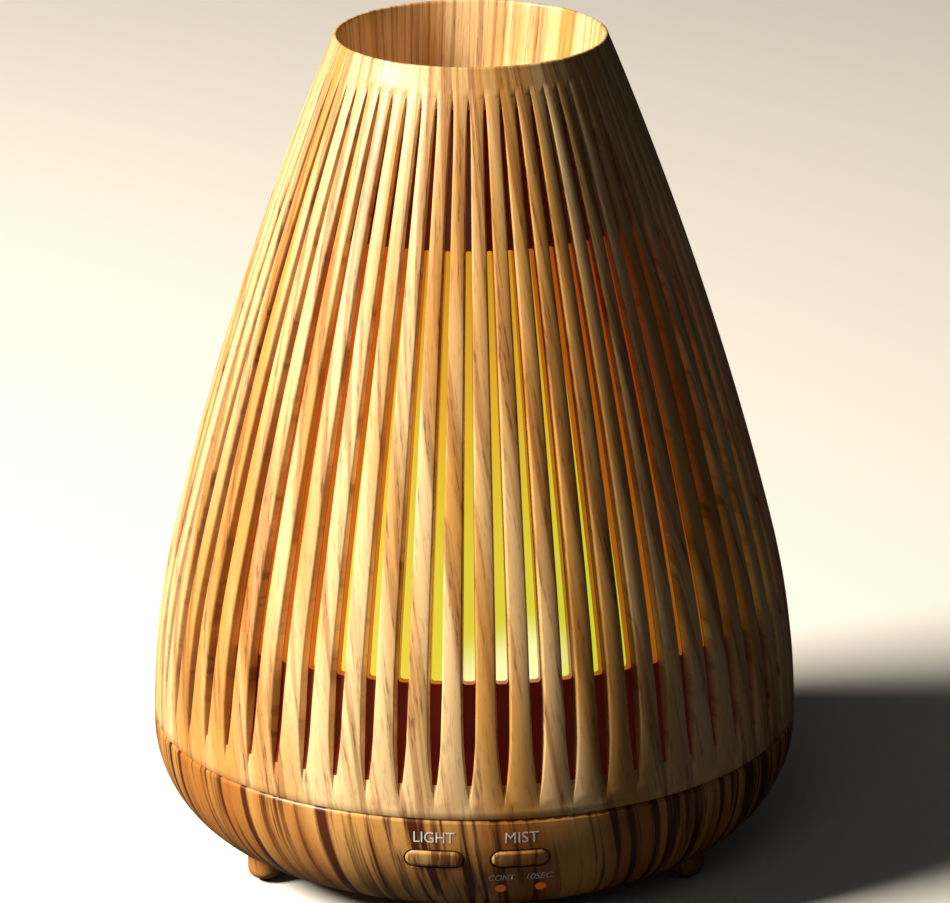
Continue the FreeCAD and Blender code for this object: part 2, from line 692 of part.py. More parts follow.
def base_shell():
    body = new_body("base_shell")
    spigot_top = seam + s.spigot_height
    revolve(body, [
        (recess_radius, s.foot_height),
        (bowl_middle, s.foot_height),
        (s.seam_radius, bowl_level, s.bowl_round),
        (s.seam_radius, seam - s.edge_round),
        (s.seam_radius - s.edge_round, seam, s.edge_round),
        (spigot_outer, seam),
        (spigot_outer, spigot_top - 0.5),
        (spigot_outer - 0.5, spigot_top),
        (spigot_inner, spigot_top),
        (spigot_inner, seam),
        (shelf_radius, seam),
        (shelf_radius, shelf_low),
        (bowl_inside(shelf_low), shelf_low),
        (bowl_inside(ledge_top), ledge_top, -inner_round),
        (ledge_radius, ledge_top),
        (ledge_radius, plate_top),
        (recess_radius, plate_top),
    ])
    # feet, each with a socket for its rubber pad
    foot_x = -(s.foot_circle * sine(60))
    foot_y = -(s.foot_circle * cosine(60))
    foot_reach = s.foot_circle + s.foot_radius - bowl_middle
    foot_top = bowl_level - root(s.bowl_round * s.bowl_round - foot_reach * foot_reach) + 0.5
    foot = revolve(body, [
        (0, s.pad_show),
        (s.foot_radius - s.foot_round, s.pad_show),
        (s.foot_radius, s.pad_show + s.foot_round, s.foot_round),
        (s.foot_radius, foot_top),
        (0, foot_top),
    ], place=(foot_x, 0, -foot_y), own_axis=True)
    around(body, [foot], s.foot_count)
    socket = extrude(body, "XY_Plane", (0, 0, 0), s.pad_show + s.pad_sunk, cut=True,
                     circles=[(foot_x, foot_y, s.pad_radius + s.plate_gap)])
    around(body, [socket], s.foot_count)
    # bosses for the bottom plate's screws
    diagonal = (ledge_radius + recess_radius) / 2 * cosine(45)
    boss = extrude(body, "XY_Plane", (0, 0, ledge_top - s.overrun), s.base_boss_height + 1.0,
                   circles=[(diagonal, diagonal, hold_radius + s.boss_wall)])
    pilot = extrude(body, "XY_Plane", (0, 0, s.foot_height), s.base_wall + s.base_boss_height + 1.0,
                    cut=True, circles=[(diagonal, diagonal, hold_radius)])
    around(body, [boss, pilot], s.base_screw_count)
    # screw holes up into the deck
    diagonal = deck_screw_circle * cosine(45)
    hole = extrude(body, "XY_Plane", (0, 0, shelf_low - s.overrun), s.base_wall + s.overrun * 2, cut=True,
                   circles=[(diagonal, diagonal, s.screw_radius + s.screw_pass)])
    around(body, [hole], s.base_screw_count)
    # rails that hold the control board by its two ends
    slot = s.board_thickness + s.board_gap * 2
    grip_x = s.panel_width / 2 - s.rail_grip
    slot_x = s.panel_width / 2 + s.board_gap
    far_x = slot_x + s.rail_wall
    slot_front = -panel_front - s.board_gap
    slot_back = slot_front + slot
    rail = extrude(body, "XY_Plane", (0, 0, shelf_low - s.panel_height), s.panel_height + s.overlap,
                   outlines=[[
                       (grip_x, slot_front - s.rail_wall), (far_x, slot_front - s.rail_wall),
                       (far_x, slot_back + s.rail_wall), (grip_x, slot_back + s.rail_wall),
                       (grip_x, slot_back), (slot_x, slot_back),
                       (slot_x, slot_front), (grip_x, slot_front),
                   ]])
    mirror(body, [rail])
    # front openings for the two buttons and the two indicator lamps
    half_pitch = s.button_pitch / 2
    opening = (s.button_length + s.button_gap * 2, s.button_width + s.button_gap * 2)
    lamp_hole = s.lamp_radius + s.lamp_gap
    start = panel_front + s.rail_wall + s.board_gap + 0.5
    extrude(body, "XZ_Plane", (0, 0, start), s.panel_setback, cut=True, outlines=[
        stadium_outline(half_pitch, button_level, *opening),
        stadium_outline(-half_pitch, button_level, *opening),
    ])
    extrude(body, "XZ_Plane", (0, 0, start), s.panel_setback, cut=True, circles=[
        (s.lamp_near, lamp_level, lamp_hole),
        (s.lamp_far, lamp_level, lamp_hole),
    ])
    # sleeve and hole for the power inlet at the back
    jack_front = s.seam_radius - s.jack_setback
    boss_start = jack_front - s.jack_setback
    extrude(body, "XZ_Plane", (0, 0, -boss_start), None, back=True,
            circles=[(0, jack_level, s.jack_radius + s.jack_gap + s.jack_boss_wall)])
    extrude(body, "XZ_Plane", (0, 0, -(boss_start - s.overrun)), s.jack_setback + s.overrun,
            cut=True, back=True,
            circles=[(0, jack_level, s.jack_radius + s.jack_gap)])
    extrude(body, "XZ_Plane", (0, 0, -(jack_front - s.overrun)), s.jack_setback + 4.0, cut=True, back=True,
            circles=[(0, jack_level, s.jack_collar + s.jack_gap)])
    return body


def bottom_plate():
    body = new_body("bottom_plate")
    revolve(body, [(0, s.foot_height), (s.plate_radius, s.foot_height),
                   (s.plate_radius, plate_top), (0, plate_top)])
    diagonal = (ledge_radius + recess_radius) / 2 * cosine(45)
    hole = extrude(body, "XY_Plane", (0, 0, s.foot_height - s.overrun), s.plate_thickness + s.overrun * 2,
                   cut=True,
                   circles=[(diagonal, diagonal, s.screw_radius + s.screw_pass)])
    around(body, [hole], s.base_screw_count)
    # air slots under the fan
    slots = []
    for step in (-2, -1, 0, 1, 2):
        slots.append(stadium_outline(fan_offset, fan_bore * step * 0.32,
                                     fan_bore * (1.8 - 0.25 * abs(step)), 2.2))
    extrude(body, "XY_Plane", (0, 0, s.foot_height - s.overrun), s.plate_thickness + s.overrun * 2, cut=True,
            outlines=slots)
    corners = fan_corners(fan_offset)
    extrude(body, "XY_Plane", (0, 0, plate_top - s.overlap), s.fan_lift + s.overlap,
            circles=[(x, y, post_radius) for x, y in corners])
    extrude(body, "XY_Plane", (0, 0, plate_top - s.overlap), s.fan_lift + s.overrun, cut=True,
            circles=[(x, y, hold_radius) for x, y in corners])
    posts = main_board_posts()
    extrude(body, "XY_Plane", (0, 0, plate_top - s.overlap), s.main_lift + s.overlap,
            circles=[(x, y, post_radius) for x, y in posts])
    extrude(body, "XY_Plane", (0, 0, plate_top - s.overlap), s.main_lift + s.overrun, cut=True,
            circles=[(x, y, hold_radius) for x, y in posts])
    return body


def fan_corners(middle):
    # places of the fan's four screws about a middle on the X axis
    reach = fan_half_pitch
    return [(middle + x, y) for x in (-reach, reach) for y in (-reach, reach)]


def main_board_posts():
    # two posts at the board's front corners and one near its back
    x = s.main_length / 2 - s.main_inset
    y = main_offset - s.main_width / 2 + s.main_inset
    return [(-x, y), (x, y), (sized(0), ledge_radius - post_radius - 0.55)]


def foot_pads():
    body = new_body("foot_pads", several=True)
    pad = extrude(body, "XY_Plane", (0, 0, 0), s.pad_show + s.pad_sunk,
                  circles=[(-(s.foot_circle * sine(60)), -(s.foot_circle * cosine(60)), s.pad_radius)])
    around(body, [pad], s.foot_count)
    return body


def screws(label, x, y, seat, length, count=None, up=True):
    # pan-head screws whose heads rest against a face at the seat level, points up or down
    body = new_body(label, several=True)
    way = 1 if up else -1
    head = s.screw_head_height * way
    tip = length * way
    outline = [
        (0, seat - head), (s.screw_head, seat - head), (s.screw_head, seat),
        (s.screw_radius, seat), (s.screw_radius, seat + tip - s.screw_radius * way),
        (0, seat + tip),
    ]
    screw = revolve(body, outline, place=(x, 0, -y), own_axis=True)
    if count is not None:
        around(body, [screw], count)
    return body


# ---- ultrasonic transducer ----

def transducer():
    outer = s.disc_radius + s.disc_seal_wall
    disc = new_body("transducer_disc")
    revolve(disc, [(0, disc_low), (s.disc_radius, disc_low),
                   (s.disc_radius, disc_low + s.disc_thickness), (0, disc_low + s.disc_thickness)])
    seal = new_body("transducer_seal")
    revolve(seal, [
        (s.well_radius, clamp_top), (outer, clamp_top), (outer, seam), (s.well_radius, seam),
        (s.well_radius, disc_low + s.disc_thickness),
        (s.disc_radius, disc_low + s.disc_thickness),
        (s.disc_radius, disc_low), (s.well_radius, disc_low),
    ])
    clamp = new_body("transducer_clamp")
    revolve(clamp, [(s.clamp_bore, clamp_low), (clamp_radius, clamp_low),
                    (clamp_radius, clamp_top), (s.clamp_bore, clamp_top)])
    hole = extrude(clamp, "XY_Plane", (0, 0, clamp_low - s.overrun), s.clamp_thickness + s.overrun * 2,
                   cut=True,
                   circles=[(0, clamp_circle, s.screw_radius + s.screw_pass)])
    around(clamp, [hole], s.clamp_screw_count)
    return [disc, seal, clamp]


# ---- fan ----

def fan():
    housing = new_body("fan_housing")
    extrude(housing, "XY_Plane", (0, 0, fan_low), s.fan_depth,
            outlines=[box_outline(sized(0), sized(0), s.fan_side, s.fan_side)])
    extrude(housing, "XY_Plane", (0, 0, fan_low - s.overrun), s.fan_depth + s.overrun * 2, cut=True,
            circles=[(0, 0, fan_bore)])
    extrude(housing, "XY_Plane", (0, 0, fan_low - s.overrun), s.fan_depth + s.overrun * 2, cut=True,
            circles=[(x, y, s.screw_radius + s.screw_pass) for x, y in fan_corners(sized(0))])
    bush = s.fan_shaft + s.fan_shaft_gap
    revolve(housing, [
        (bush, fan_low), (s.fan_hub, fan_low), (s.fan_hub, fan_low + s.fan_floor),
        (bush + 1.5, fan_low + s.fan_floor), (bush + 1.5, fan_low + s.fan_depth * 0.6),
        (bush, fan_low + s.fan_depth * 0.6),
    ])
    strut_start = s.fan_hub - 0.5
    strut = extrude(housing, "YZ_Plane", (0, 0, strut_start), fan_bore - strut_start + 0.3,
                    outlines=[[(-0.8, fan_low), (0.8, fan_low),
                               (0.8, fan_low + s.fan_floor), (-0.8, fan_low + s.fan_floor)]])
    around(housing, [strut], 4)
    move(housing, x=fan_offset)

    rotor = new_body("fan_rotor")
    hub_low = fan_low + s.fan_floor + 0.6
    hub_top = fan_top - 0.5
    shaft_low = fan_low + 0.2
    revolve(rotor, [
        (0, shaft_low), (s.fan_shaft, shaft_low), (s.fan_shaft, hub_top - 1.0),
        (s.fan_hub - 1.0, hub_top - 1.0), (s.fan_hub - 1.0, hub_low), (s.fan_hub, hub_low),
        (s.fan_hub, hub_top), (0, hub_top),
    ])
    blade_low = hub_low + 0.3
    blade_top = hub_top - 0.3
    blade_start = s.fan_hub - 0.6
    blade_end = fan_bore - s.fan_tip_gap - 0.4
    blade = extrude(rotor, "YZ_Plane", (0, 0, blade_start), blade_end - blade_start,
                    outlines=[[(-2.6, blade_low), (-1.4, blade_low),
                               (2.6, blade_top), (1.4, blade_top)]])
    around(rotor, [blade], s.fan_blade_count)
    move(rotor, x=fan_offset)
    return [housing, rotor]


def fan_duct():
    body = new_body("fan_duct")
    flange_top = fan_top + s.board_thickness
    hood_top = fan_top + s.hood_height
    opening = fan_bore - s.hood_step
    extrude(body, "XY_Plane", (0, 0, fan_top), s.board_thickness,
            outlines=[box_outline(sized(0), sized(0), s.fan_side, s.fan_side)],
            circles=[(x, y, s.screw_radius + s.screw_pass) for x, y in fan_corners(sized(0))])
    extrude(body, "XY_Plane", (0, 0, flange_top - s.overlap), hood_top - flange_top + s.overlap,
            circles=[(0, 0, opening + s.hood_wall)])
    extrude(body, "XY_Plane", (0, 0, fan_top - s.overrun), hood_top - fan_top + 1.0 - s.hood_wall, cut=True,
            circles=[(0, 0, opening)])
    pipe_x = air_pipe_offset - fan_offset
    pipe_outer = s.air_pipe_bore - s.air_pipe_gap
    pipe_top = seam + 3.0
    extrude(body, "XY_Plane", (0, 0, hood_top - s.overlap), pipe_top - hood_top + s.overlap,
            circles=[(pipe_x, 0, pipe_outer)])
    extrude(body, "XY_Plane", (0, 0, hood_top - s.hood_wall - s.overrun), pipe_top - hood_top + 4.0, cut=True,
            circles=[(pipe_x, 0, pipe_outer - s.hood_wall)])
    move(body, x=fan_offset)
    return body


# ---- boards and their parts ----

def part_box(label, length, width, height, x, y, z):
    # a plain block centred on x and y
    block = doc.addObject("Part::Box", label)
    block.Label = label
    bind(block, "Length", length)
    bind(block, "Width", width)
    bind(block, "Height", height)
    move(block, sized(x) - sized(length) / 2, sized(y) - sized(width) / 2, z)
    return block


def part_cylinder(label, radius, height, x, y, z, along_y=False):
    rod = doc.addObject("Part::Cylinder", label)
    rod.Label = label
    if along_y:
        rod.Placement = FreeCAD.Placement(Vector(), FreeCAD.Rotation(Vector(1, 0, 0), -90))
    bind(rod, "Radius", radius)
    bind(rod, "Height", height)
    move(rod, x, y, z)
    return rod


def group(label, pieces):
    node = doc.addObject("Part::Compound", label)
    node.Label = label
    node.Links = pieces
    return node


def main_board():
    board = new_body("main_board")
    extrude(board, "XY_Plane", (0, 0, board_low), s.board_thickness,
            outlines=[box_outline(sized(0), main_offset, s.main_length, s.main_width)],
            circles=[(x, y, s.screw_radius + s.screw_pass) for x, y in main_board_posts()])
    near = main_offset - s.main_width / 2
    parts = [
        board,
        part_cylinder("storage_capacitor", 4.0, 11.0, -9.0, near + 20.0, board_top),
        part_cylinder("drive_coil", 4.2, 6.0, 4.0, near + 10.0, board_top),
        part_box("control_chip", 5.0, 8.6, 1.6, -6.0, near + 8.5, board_top),
        group("driver_transistors", [
            part_box("transistor_one", 10.0, 4.5, 9.0, 13.5, near + 18.0, board_top),
            part_box("transistor_two", 4.0, 3.0, 3.6, 12.5, near + 10.0, board_top),
        ]),
        group("board_connectors", [
            part_box("connector_one", 7.5, 4.5, 5.5, 8.0, near + 25.0, board_top),
            part_box("connector_two", 9.0, 4.5, 5.5, -15.0, near + 13.0, board_top),
        ]),
    ]
    return parts


def control_board():
    board = part_box("control_board", s.panel_width, s.board_thickness, s.panel_height - 0.4,
                     0, s.board_thickness / 2 - panel_front, panel_top - s.panel_height + 0.4)
    lamps = [part_box(f"indicator_{name}", 2.4, 1.2, 1.6, x, -panel_front - 0.6, lamp_level - 0.8)
             for name, x in (("near", s.lamp_near), ("far", s.lamp_far))]
    return [board, group("indicator_leds", lamps)]


def button_set(name, side):
    # one button with the tactile switch that it presses
    middle = s.button_pitch / 2 * side
    body = new_body(f"{name}_button")
    front = s.seam_radius + s.button_show
    flange_front = panel_front + s.board_gap + s.rail_wall + s.button_show + 5.2
    flange_back = flange_front - s.button_flange
    plunger_front = panel_front + s.switch_depth + s.plunger_show
    rim = s.button_flange_rim
    extrude(body, "XZ_Plane", (0, 0, flange_back), front - flange_back,
            outlines=[stadium_outline(middle, button_level, s.button_length, s.button_width)])
    # the front follows the bowl, a little proud of it
    revolve(body, [
        (bowl_middle, bowl_level - s.bowl_round - s.button_show),
        (s.seam_radius + s.button_show, bowl_level, s.bowl_round + s.button_show),
        (s.seam_radius + s.button_show, seam + 5.0),
        (s.seam_radius + 12.0, seam + 5.0),
        (s.seam_radius + 12.0, bowl_level - s.bowl_round - s.button_show),
    ], cut=True)
    extrude(body, "XZ_Plane", (0, 0, flange_back), s.button_flange,
            outlines=[stadium_outline(middle, button_level, s.button_length + rim * 2,
                                      s.button_width + rim * 2)])
    extrude(body, "XZ_Plane", (0, 0, plunger_front), flange_back - plunger_front + 0.2,
            circles=[(middle, button_level, s.plunger_radius + 0.2)])

    switch = new_body(f"{name}_switch")
    extrude(switch, "XZ_Plane", (0, 0, panel_front), s.switch_depth,
            outlines=[box_outline(middle, button_level, s.switch_side, s.switch_side)])
    well = s.button_travel + 1.0
    extrude(switch, "XZ_Plane", (0, 0, panel_front + s.switch_depth - well), well + s.overrun, cut=True,
            circles=[(middle, button_level, s.plunger_radius + s.plunger_gap)])
    plunger_back = panel_front + s.switch_depth - s.button_gap
    plunger = new_body(f"{name}_plunger")
    extrude(plunger, "XZ_Plane", (0, 0, plunger_back), plunger_front - plunger_back,
            circles=[(middle, button_level, s.plunger_radius)])
    return [body, switch, plunger]


def light_pipe(name, x):
    # a clear rod whose outer end follows the bowl
    body = new_body(f"{name}_light_pipe")
    back = panel_front + 1.2 + 0.3
    extrude(body, "XZ_Plane", (0, 0, back), s.seam_radius - back,
            circles=[(x, lamp_level, s.lamp_radius)])
    revolve(body, [
        (bowl_middle, bowl_level - s.bowl_round),
        (s.seam_radius, bowl_level, s.bowl_round),
        (s.seam_radius + 12.0, bowl_level),
        (s.seam_radius + 12.0, bowl_level - s.bowl_round),
    ], cut=True)
    return body


def dc_jack():
    jack_front = s.seam_radius - s.jack_setback
    jack_rear = jack_front - s.jack_length
    barrel = part_cylinder("jack_barrel", s.jack_radius, s.jack_length, 0, jack_rear, jack_level, True)
    collar = part_cylinder("jack_collar", s.jack_collar, s.jack_collar_length + 1.0,
                           0, jack_front - 1.0, jack_level, True)
    outside = doc.addObject("Part::Fuse", "jack_outside")
    outside.Base = barrel
    outside.Tool = collar
    bore = part_cylinder("jack_bore", s.jack_bore, s.jack_length + s.jack_collar_length,
                         0, jack_rear + s.jack_back, jack_level, True)
    root_radius = s.jack_pin + 0.4
    pin_hole = part_cylinder("jack_pin_hole", root_radius + s.screw_gap, s.jack_back + 2.0,
                             0, jack_rear - 1.0, jack_level, True)
    inside = doc.addObject("Part::Fuse", "jack_inside")
    inside.Base = bore
    inside.Tool = pin_hole
    jack = doc.addObject("Part::Cut", "dc_jack")
    jack.Base = outside
    jack.Tool = inside
    pin = doc.addObject("Part::Fuse", "dc_pin")
    pin.Base = part_cylinder("pin_contact", s.jack_pin, s.jack_length + s.jack_collar_length,
                             0, jack_rear - 1.0, jack_level, True)
    pin.Tool = part_cylinder("pin_root", root_radius, s.jack_back + 1.0,
                             0, jack_rear - 1.0, jack_level, True)
    return [jack, pin]


def colour_ring():
    board = new_body("led_ring_board")
    revolve(board, [(ring_inner, deck_top), (ring_outer, deck_top),
                    (ring_outer, deck_top + s.ring_thickness),
                    (ring_inner, deck_top + s.ring_thickness)])
    leds = new_body("colour_leds", several=True)
    middle = (ring_inner + ring_outer) / 2
    led = extrude(leds, "XY_Plane", (0, 0, deck_top + s.ring_thickness), s.led_height,
                  outlines=[box_outline(sized(0), -middle, s.led_side, s.led_side)])
    around(leds, [led], s.led_count)
    turn(leds, s.led_turn)
    return [board, leds]


# ---- internal leads ----

def lead(label, route, radius):
    # straight runs joined by tangent arcs, each arc as large as its two runs allow
    points = [Vector(*(sized(value).value for value in point)) for point in route]
    edges = []
    start = points[0]
    for before, corner, after in zip(points, points[1:], points[2:]):
        run_in = corner - before
        run_out = after - corner
        half_turn = run_in.getAngle(run_out) / 2
        cut_back = 0.45 * min(run_in.Length, run_out.Length)
        first = corner - run_in * (cut_back / run_in.Length)
        last = corner + run_out * (cut_back / run_out.Length)
        bend = cut_back / math.tan(half_turn)
        inward = (run_out / run_out.Length - run_in / run_in.Length).normalize()
        middle = corner + inward * (bend / math.cos(half_turn) - bend)
        edges.append(Part.LineSegment(start, first).toShape())
        edges.append(Part.Arc(first, middle, last).toShape())
        start = last
    edges.append(Part.LineSegment(start, points[-1]).toShape())
    path = Part.Wire(edges)
    section = Part.Wire([Part.Circle(points[0], points[1] - points[0], radius.value).toShape()])
    node = doc.addObject("Part::Feature", label)
    node.Label = label
    node.Shape = path.makePipeShell([section], True, False)
    return node


def leads():
    near = main_offset - s.main_width / 2
    jack_rear = s.seam_radius - s.jack_setback - s.jack_length
    panel_back = s.board_thickness - panel_front
    hole_x, hole_y = lead_hole_place()
    fan_side_x = fan_offset - s.fan_side / 2
    board_side = -(s.main_length / 2)
    return [
        lead("power_lead", [
            (0, jack_rear - 1.0, jack_level), (0, jack_rear - 5.0, jack_level),
            (1.0, jack_rear - 9.0, jack_level - 3.0), (1.5, near + 28.5, board_top + 3.5),
            (1.5, near + 28.5, board_top)], s.lead_radius),
        lead("transducer_lead", [
            (0, 2.0, disc_low), (0, 2.0, disc_low - 4.5), (-3.0, 8.0, disc_low - 8.0),
            (-3.5, near - 3.0, board_top + 6.0), (-2.0, near + 3.0, board_top + 4.0),
            (-2.0, near + 3.0, board_top)], s.lead_radius),
        lead("fan_lead", [
            (fan_side_x, 9.0, fan_low + 6.0), (fan_side_x - 3.5, 9.0, fan_low + 6.0),
            (fan_side_x - 3.1, near - 1.5, board_top + 5.5), (fan_side_x - 2.1, near + 2.2, board_top + 4.0),
            (fan_side_x - 2.1, near + 2.2, board_top)], s.lead_radius),
        lead("control_lead", [
            (-8.0, panel_back, lamp_level + 2.0), (-8.0, panel_back + 8.0, lamp_level + 2.0),
            (-10.0, panel_back + 20.0, lamp_level), (-11.0, panel_back + 38.0, lamp_level - 1.0),
            (-12.0, panel_back + 56.0, lamp_level), (-12.5, near + 2.6, board_top + 5.0),
            (-12.5, near + 2.6, board_top)], s.lead_radius),
        lead("led_lead", [
            (hole_x, hole_y, deck_top), (hole_x, hole_y, deck_top - 8.0),
            (hole_x + 2.0, hole_y - 4.0, board_top + 9.0), (board_side + 3.0, near + 22.0, board_top + 5.0),
            (board_side + 3.0, near + 22.0, board_top)], s.lead_radius),
    ]


# ---- build, check and export ----

diagonal_plate = (ledge_radius + recess_radius) / 2 * cosine(45)
diagonal_deck = deck_screw_circle * cosine(45)
sub_parts = [outer_cover(), light_shade(), *water_tank(), base_shell(), bottom_plate(), foot_pads()]
sub_parts += [
    screws("bottom_screws", diagonal_plate, diagonal_plate, s.foot_height,
           s.plate_thickness + s.base_boss_height + 1.0, s.base_screw_count),
    screws("deck_screws", diagonal_deck, diagonal_deck, shelf_low,
           s.base_wall + s.deck_thickness + s.deck_boss_height - 2.5, s.base_screw_count),
    screws("clamp_screws", 0, clamp_circle, clamp_low,
           s.clamp_thickness + s.disc_seal_height - 2.0, s.clamp_screw_count),
]
sub_parts += transducer()
sub_parts += [*fan(), fan_duct()]
sub_parts += main_board()
for node_name, places, seat, length in (
        ("fan_screws", fan_corners(fan_offset),
         fan_top + s.board_thickness, s.fan_depth + s.board_thickness + 2.6),
        ("board_screws", main_board_posts(), board_top, s.board_thickness + 2.4)):
    singles = [screws(f"{node_name}_{number}", x, y, seat, length, up=False)
               for number, (x, y) in enumerate(places, 1)]
    sub_parts.append(group(node_name, singles))
sub_parts += control_board()
sub_parts += [*button_set("light", -1), *button_set("mist", 1)]
sub_parts += [light_pipe("continuous", s.lamp_near), light_pipe("timer", s.lamp_far)]
sub_parts += dc_jack()
sub_parts += colour_ring()
sub_parts += leads()
doc.recompute()

faults = [item.Name for item in doc.Objects if "Invalid" in item.State or "Error" in item.State]
for node in sub_parts:
    if node.Shape.isNull() or not node.Shape.isValid() or not node.Shape.Solids:
        faults.append(node.Label)
if faults:
    raise RuntimeError("these did not build: " + ", ".join(faults))

os.makedirs("parts", exist_ok=True)
for node in sub_parts:
    node.Shape.exportStep(f"parts/{node.Label}.step")
print(len(sub_parts), "nodes")
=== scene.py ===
import math
import bpy
from mathutils import Matrix, Vector


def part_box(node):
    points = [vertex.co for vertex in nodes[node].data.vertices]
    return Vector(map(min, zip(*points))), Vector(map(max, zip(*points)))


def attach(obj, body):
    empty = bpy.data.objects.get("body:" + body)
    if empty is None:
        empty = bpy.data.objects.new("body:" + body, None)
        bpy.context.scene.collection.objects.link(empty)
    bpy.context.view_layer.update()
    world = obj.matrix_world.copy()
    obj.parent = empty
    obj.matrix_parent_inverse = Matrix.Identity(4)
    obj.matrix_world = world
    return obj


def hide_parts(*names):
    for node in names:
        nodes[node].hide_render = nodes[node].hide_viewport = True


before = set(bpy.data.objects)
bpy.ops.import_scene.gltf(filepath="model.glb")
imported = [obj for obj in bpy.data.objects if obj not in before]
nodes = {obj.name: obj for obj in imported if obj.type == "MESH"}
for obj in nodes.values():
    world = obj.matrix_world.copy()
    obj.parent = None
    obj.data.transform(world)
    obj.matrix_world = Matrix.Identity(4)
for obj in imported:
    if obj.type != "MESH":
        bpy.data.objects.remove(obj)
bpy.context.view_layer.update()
mm = 0.001
print("frame loaded with", len(nodes), "nodes")


def linearColour(hexText, shade=1.0):
    # sRGB hex to the linear values that sockets take
    channels = [int(hexText[i:i + 2], 16) / 255 for i in (1, 3, 5)]
    lit = [c / 12.92 if c <= 0.04045 else ((c + 0.055) / 1.055) ** 2.4 for c in channels]
    return [min(c * shade, 1.0) for c in lit] + [1.0]


def addNode(tree, kind, links=None, inputs=None, stops=None, **settings):
    # one node: its settings, the values of its free inputs, what feeds the others, and a ramp's stops
    node = tree.nodes.new(kind)
    for name, value in settings.items():
        setattr(node, name, value)
    for name, value in (inputs or {}).items():
        node.inputs[name].default_value = value
    for name, socket in (links or {}).items():
        tree.links.new(socket, node.inputs[name])
    for place, shade in (stops or {}).items():
        stop = node.color_ramp.elements.new(place)
        stop.color = linearColour(shade) if isinstance(shade, str) else (shade, shade, shade, 1)
    if stops:
        node.color_ramp.elements.remove(node.color_ramp.elements[-1])
        node.color_ramp.elements.remove(node.color_ramp.elements[0])
    return node


def newMaterial(name, roughness, ior=1.5, metallic=0.0):
    material = bpy.data.materials.new(name)
    material.use_nodes = True
    tree = material.node_tree
    tree.nodes.clear()
    shader = addNode(tree, "ShaderNodeBsdfPrincipled",
                     inputs={"Roughness": roughness, "IOR": ior, "Metallic": metallic})
    addNode(tree, "ShaderNodeOutputMaterial", links={"Surface": shader.outputs["BSDF"]})
    place = addNode(tree, "ShaderNodeTexCoord").outputs["Object"]
    return material, tree, shader, place


def wear(piece, material):
    piece.data.materials.clear()
    piece.data.materials.append(material)


def pickOnly(piece):
    # object mode, with this piece alone selected and active
    if bpy.context.object and bpy.context.object.mode != "OBJECT":
        bpy.ops.object.mode_set(mode="OBJECT")
    bpy.ops.object.select_all(action="DESELECT")
    piece.select_set(True)
    bpy.context.view_layer.objects.active = piece


def applyPlace(piece):
    pickOnly(piece)
    bpy.ops.object.transform_apply(location=True, rotation=True, scale=True)


wood = {
    "girth": 55.0,              # mm, radius at which the film's sizes hold true
    "bandWidth": 10.0,          # broad light and dark bands
    "poreWidth": 0.5,           # short dark pores
    "poreLength": 5.0,
    "waver": 6.0,               # how far the lines wander sideways
    "pore": "#4A230C",
    "roughness": 0.34,
}


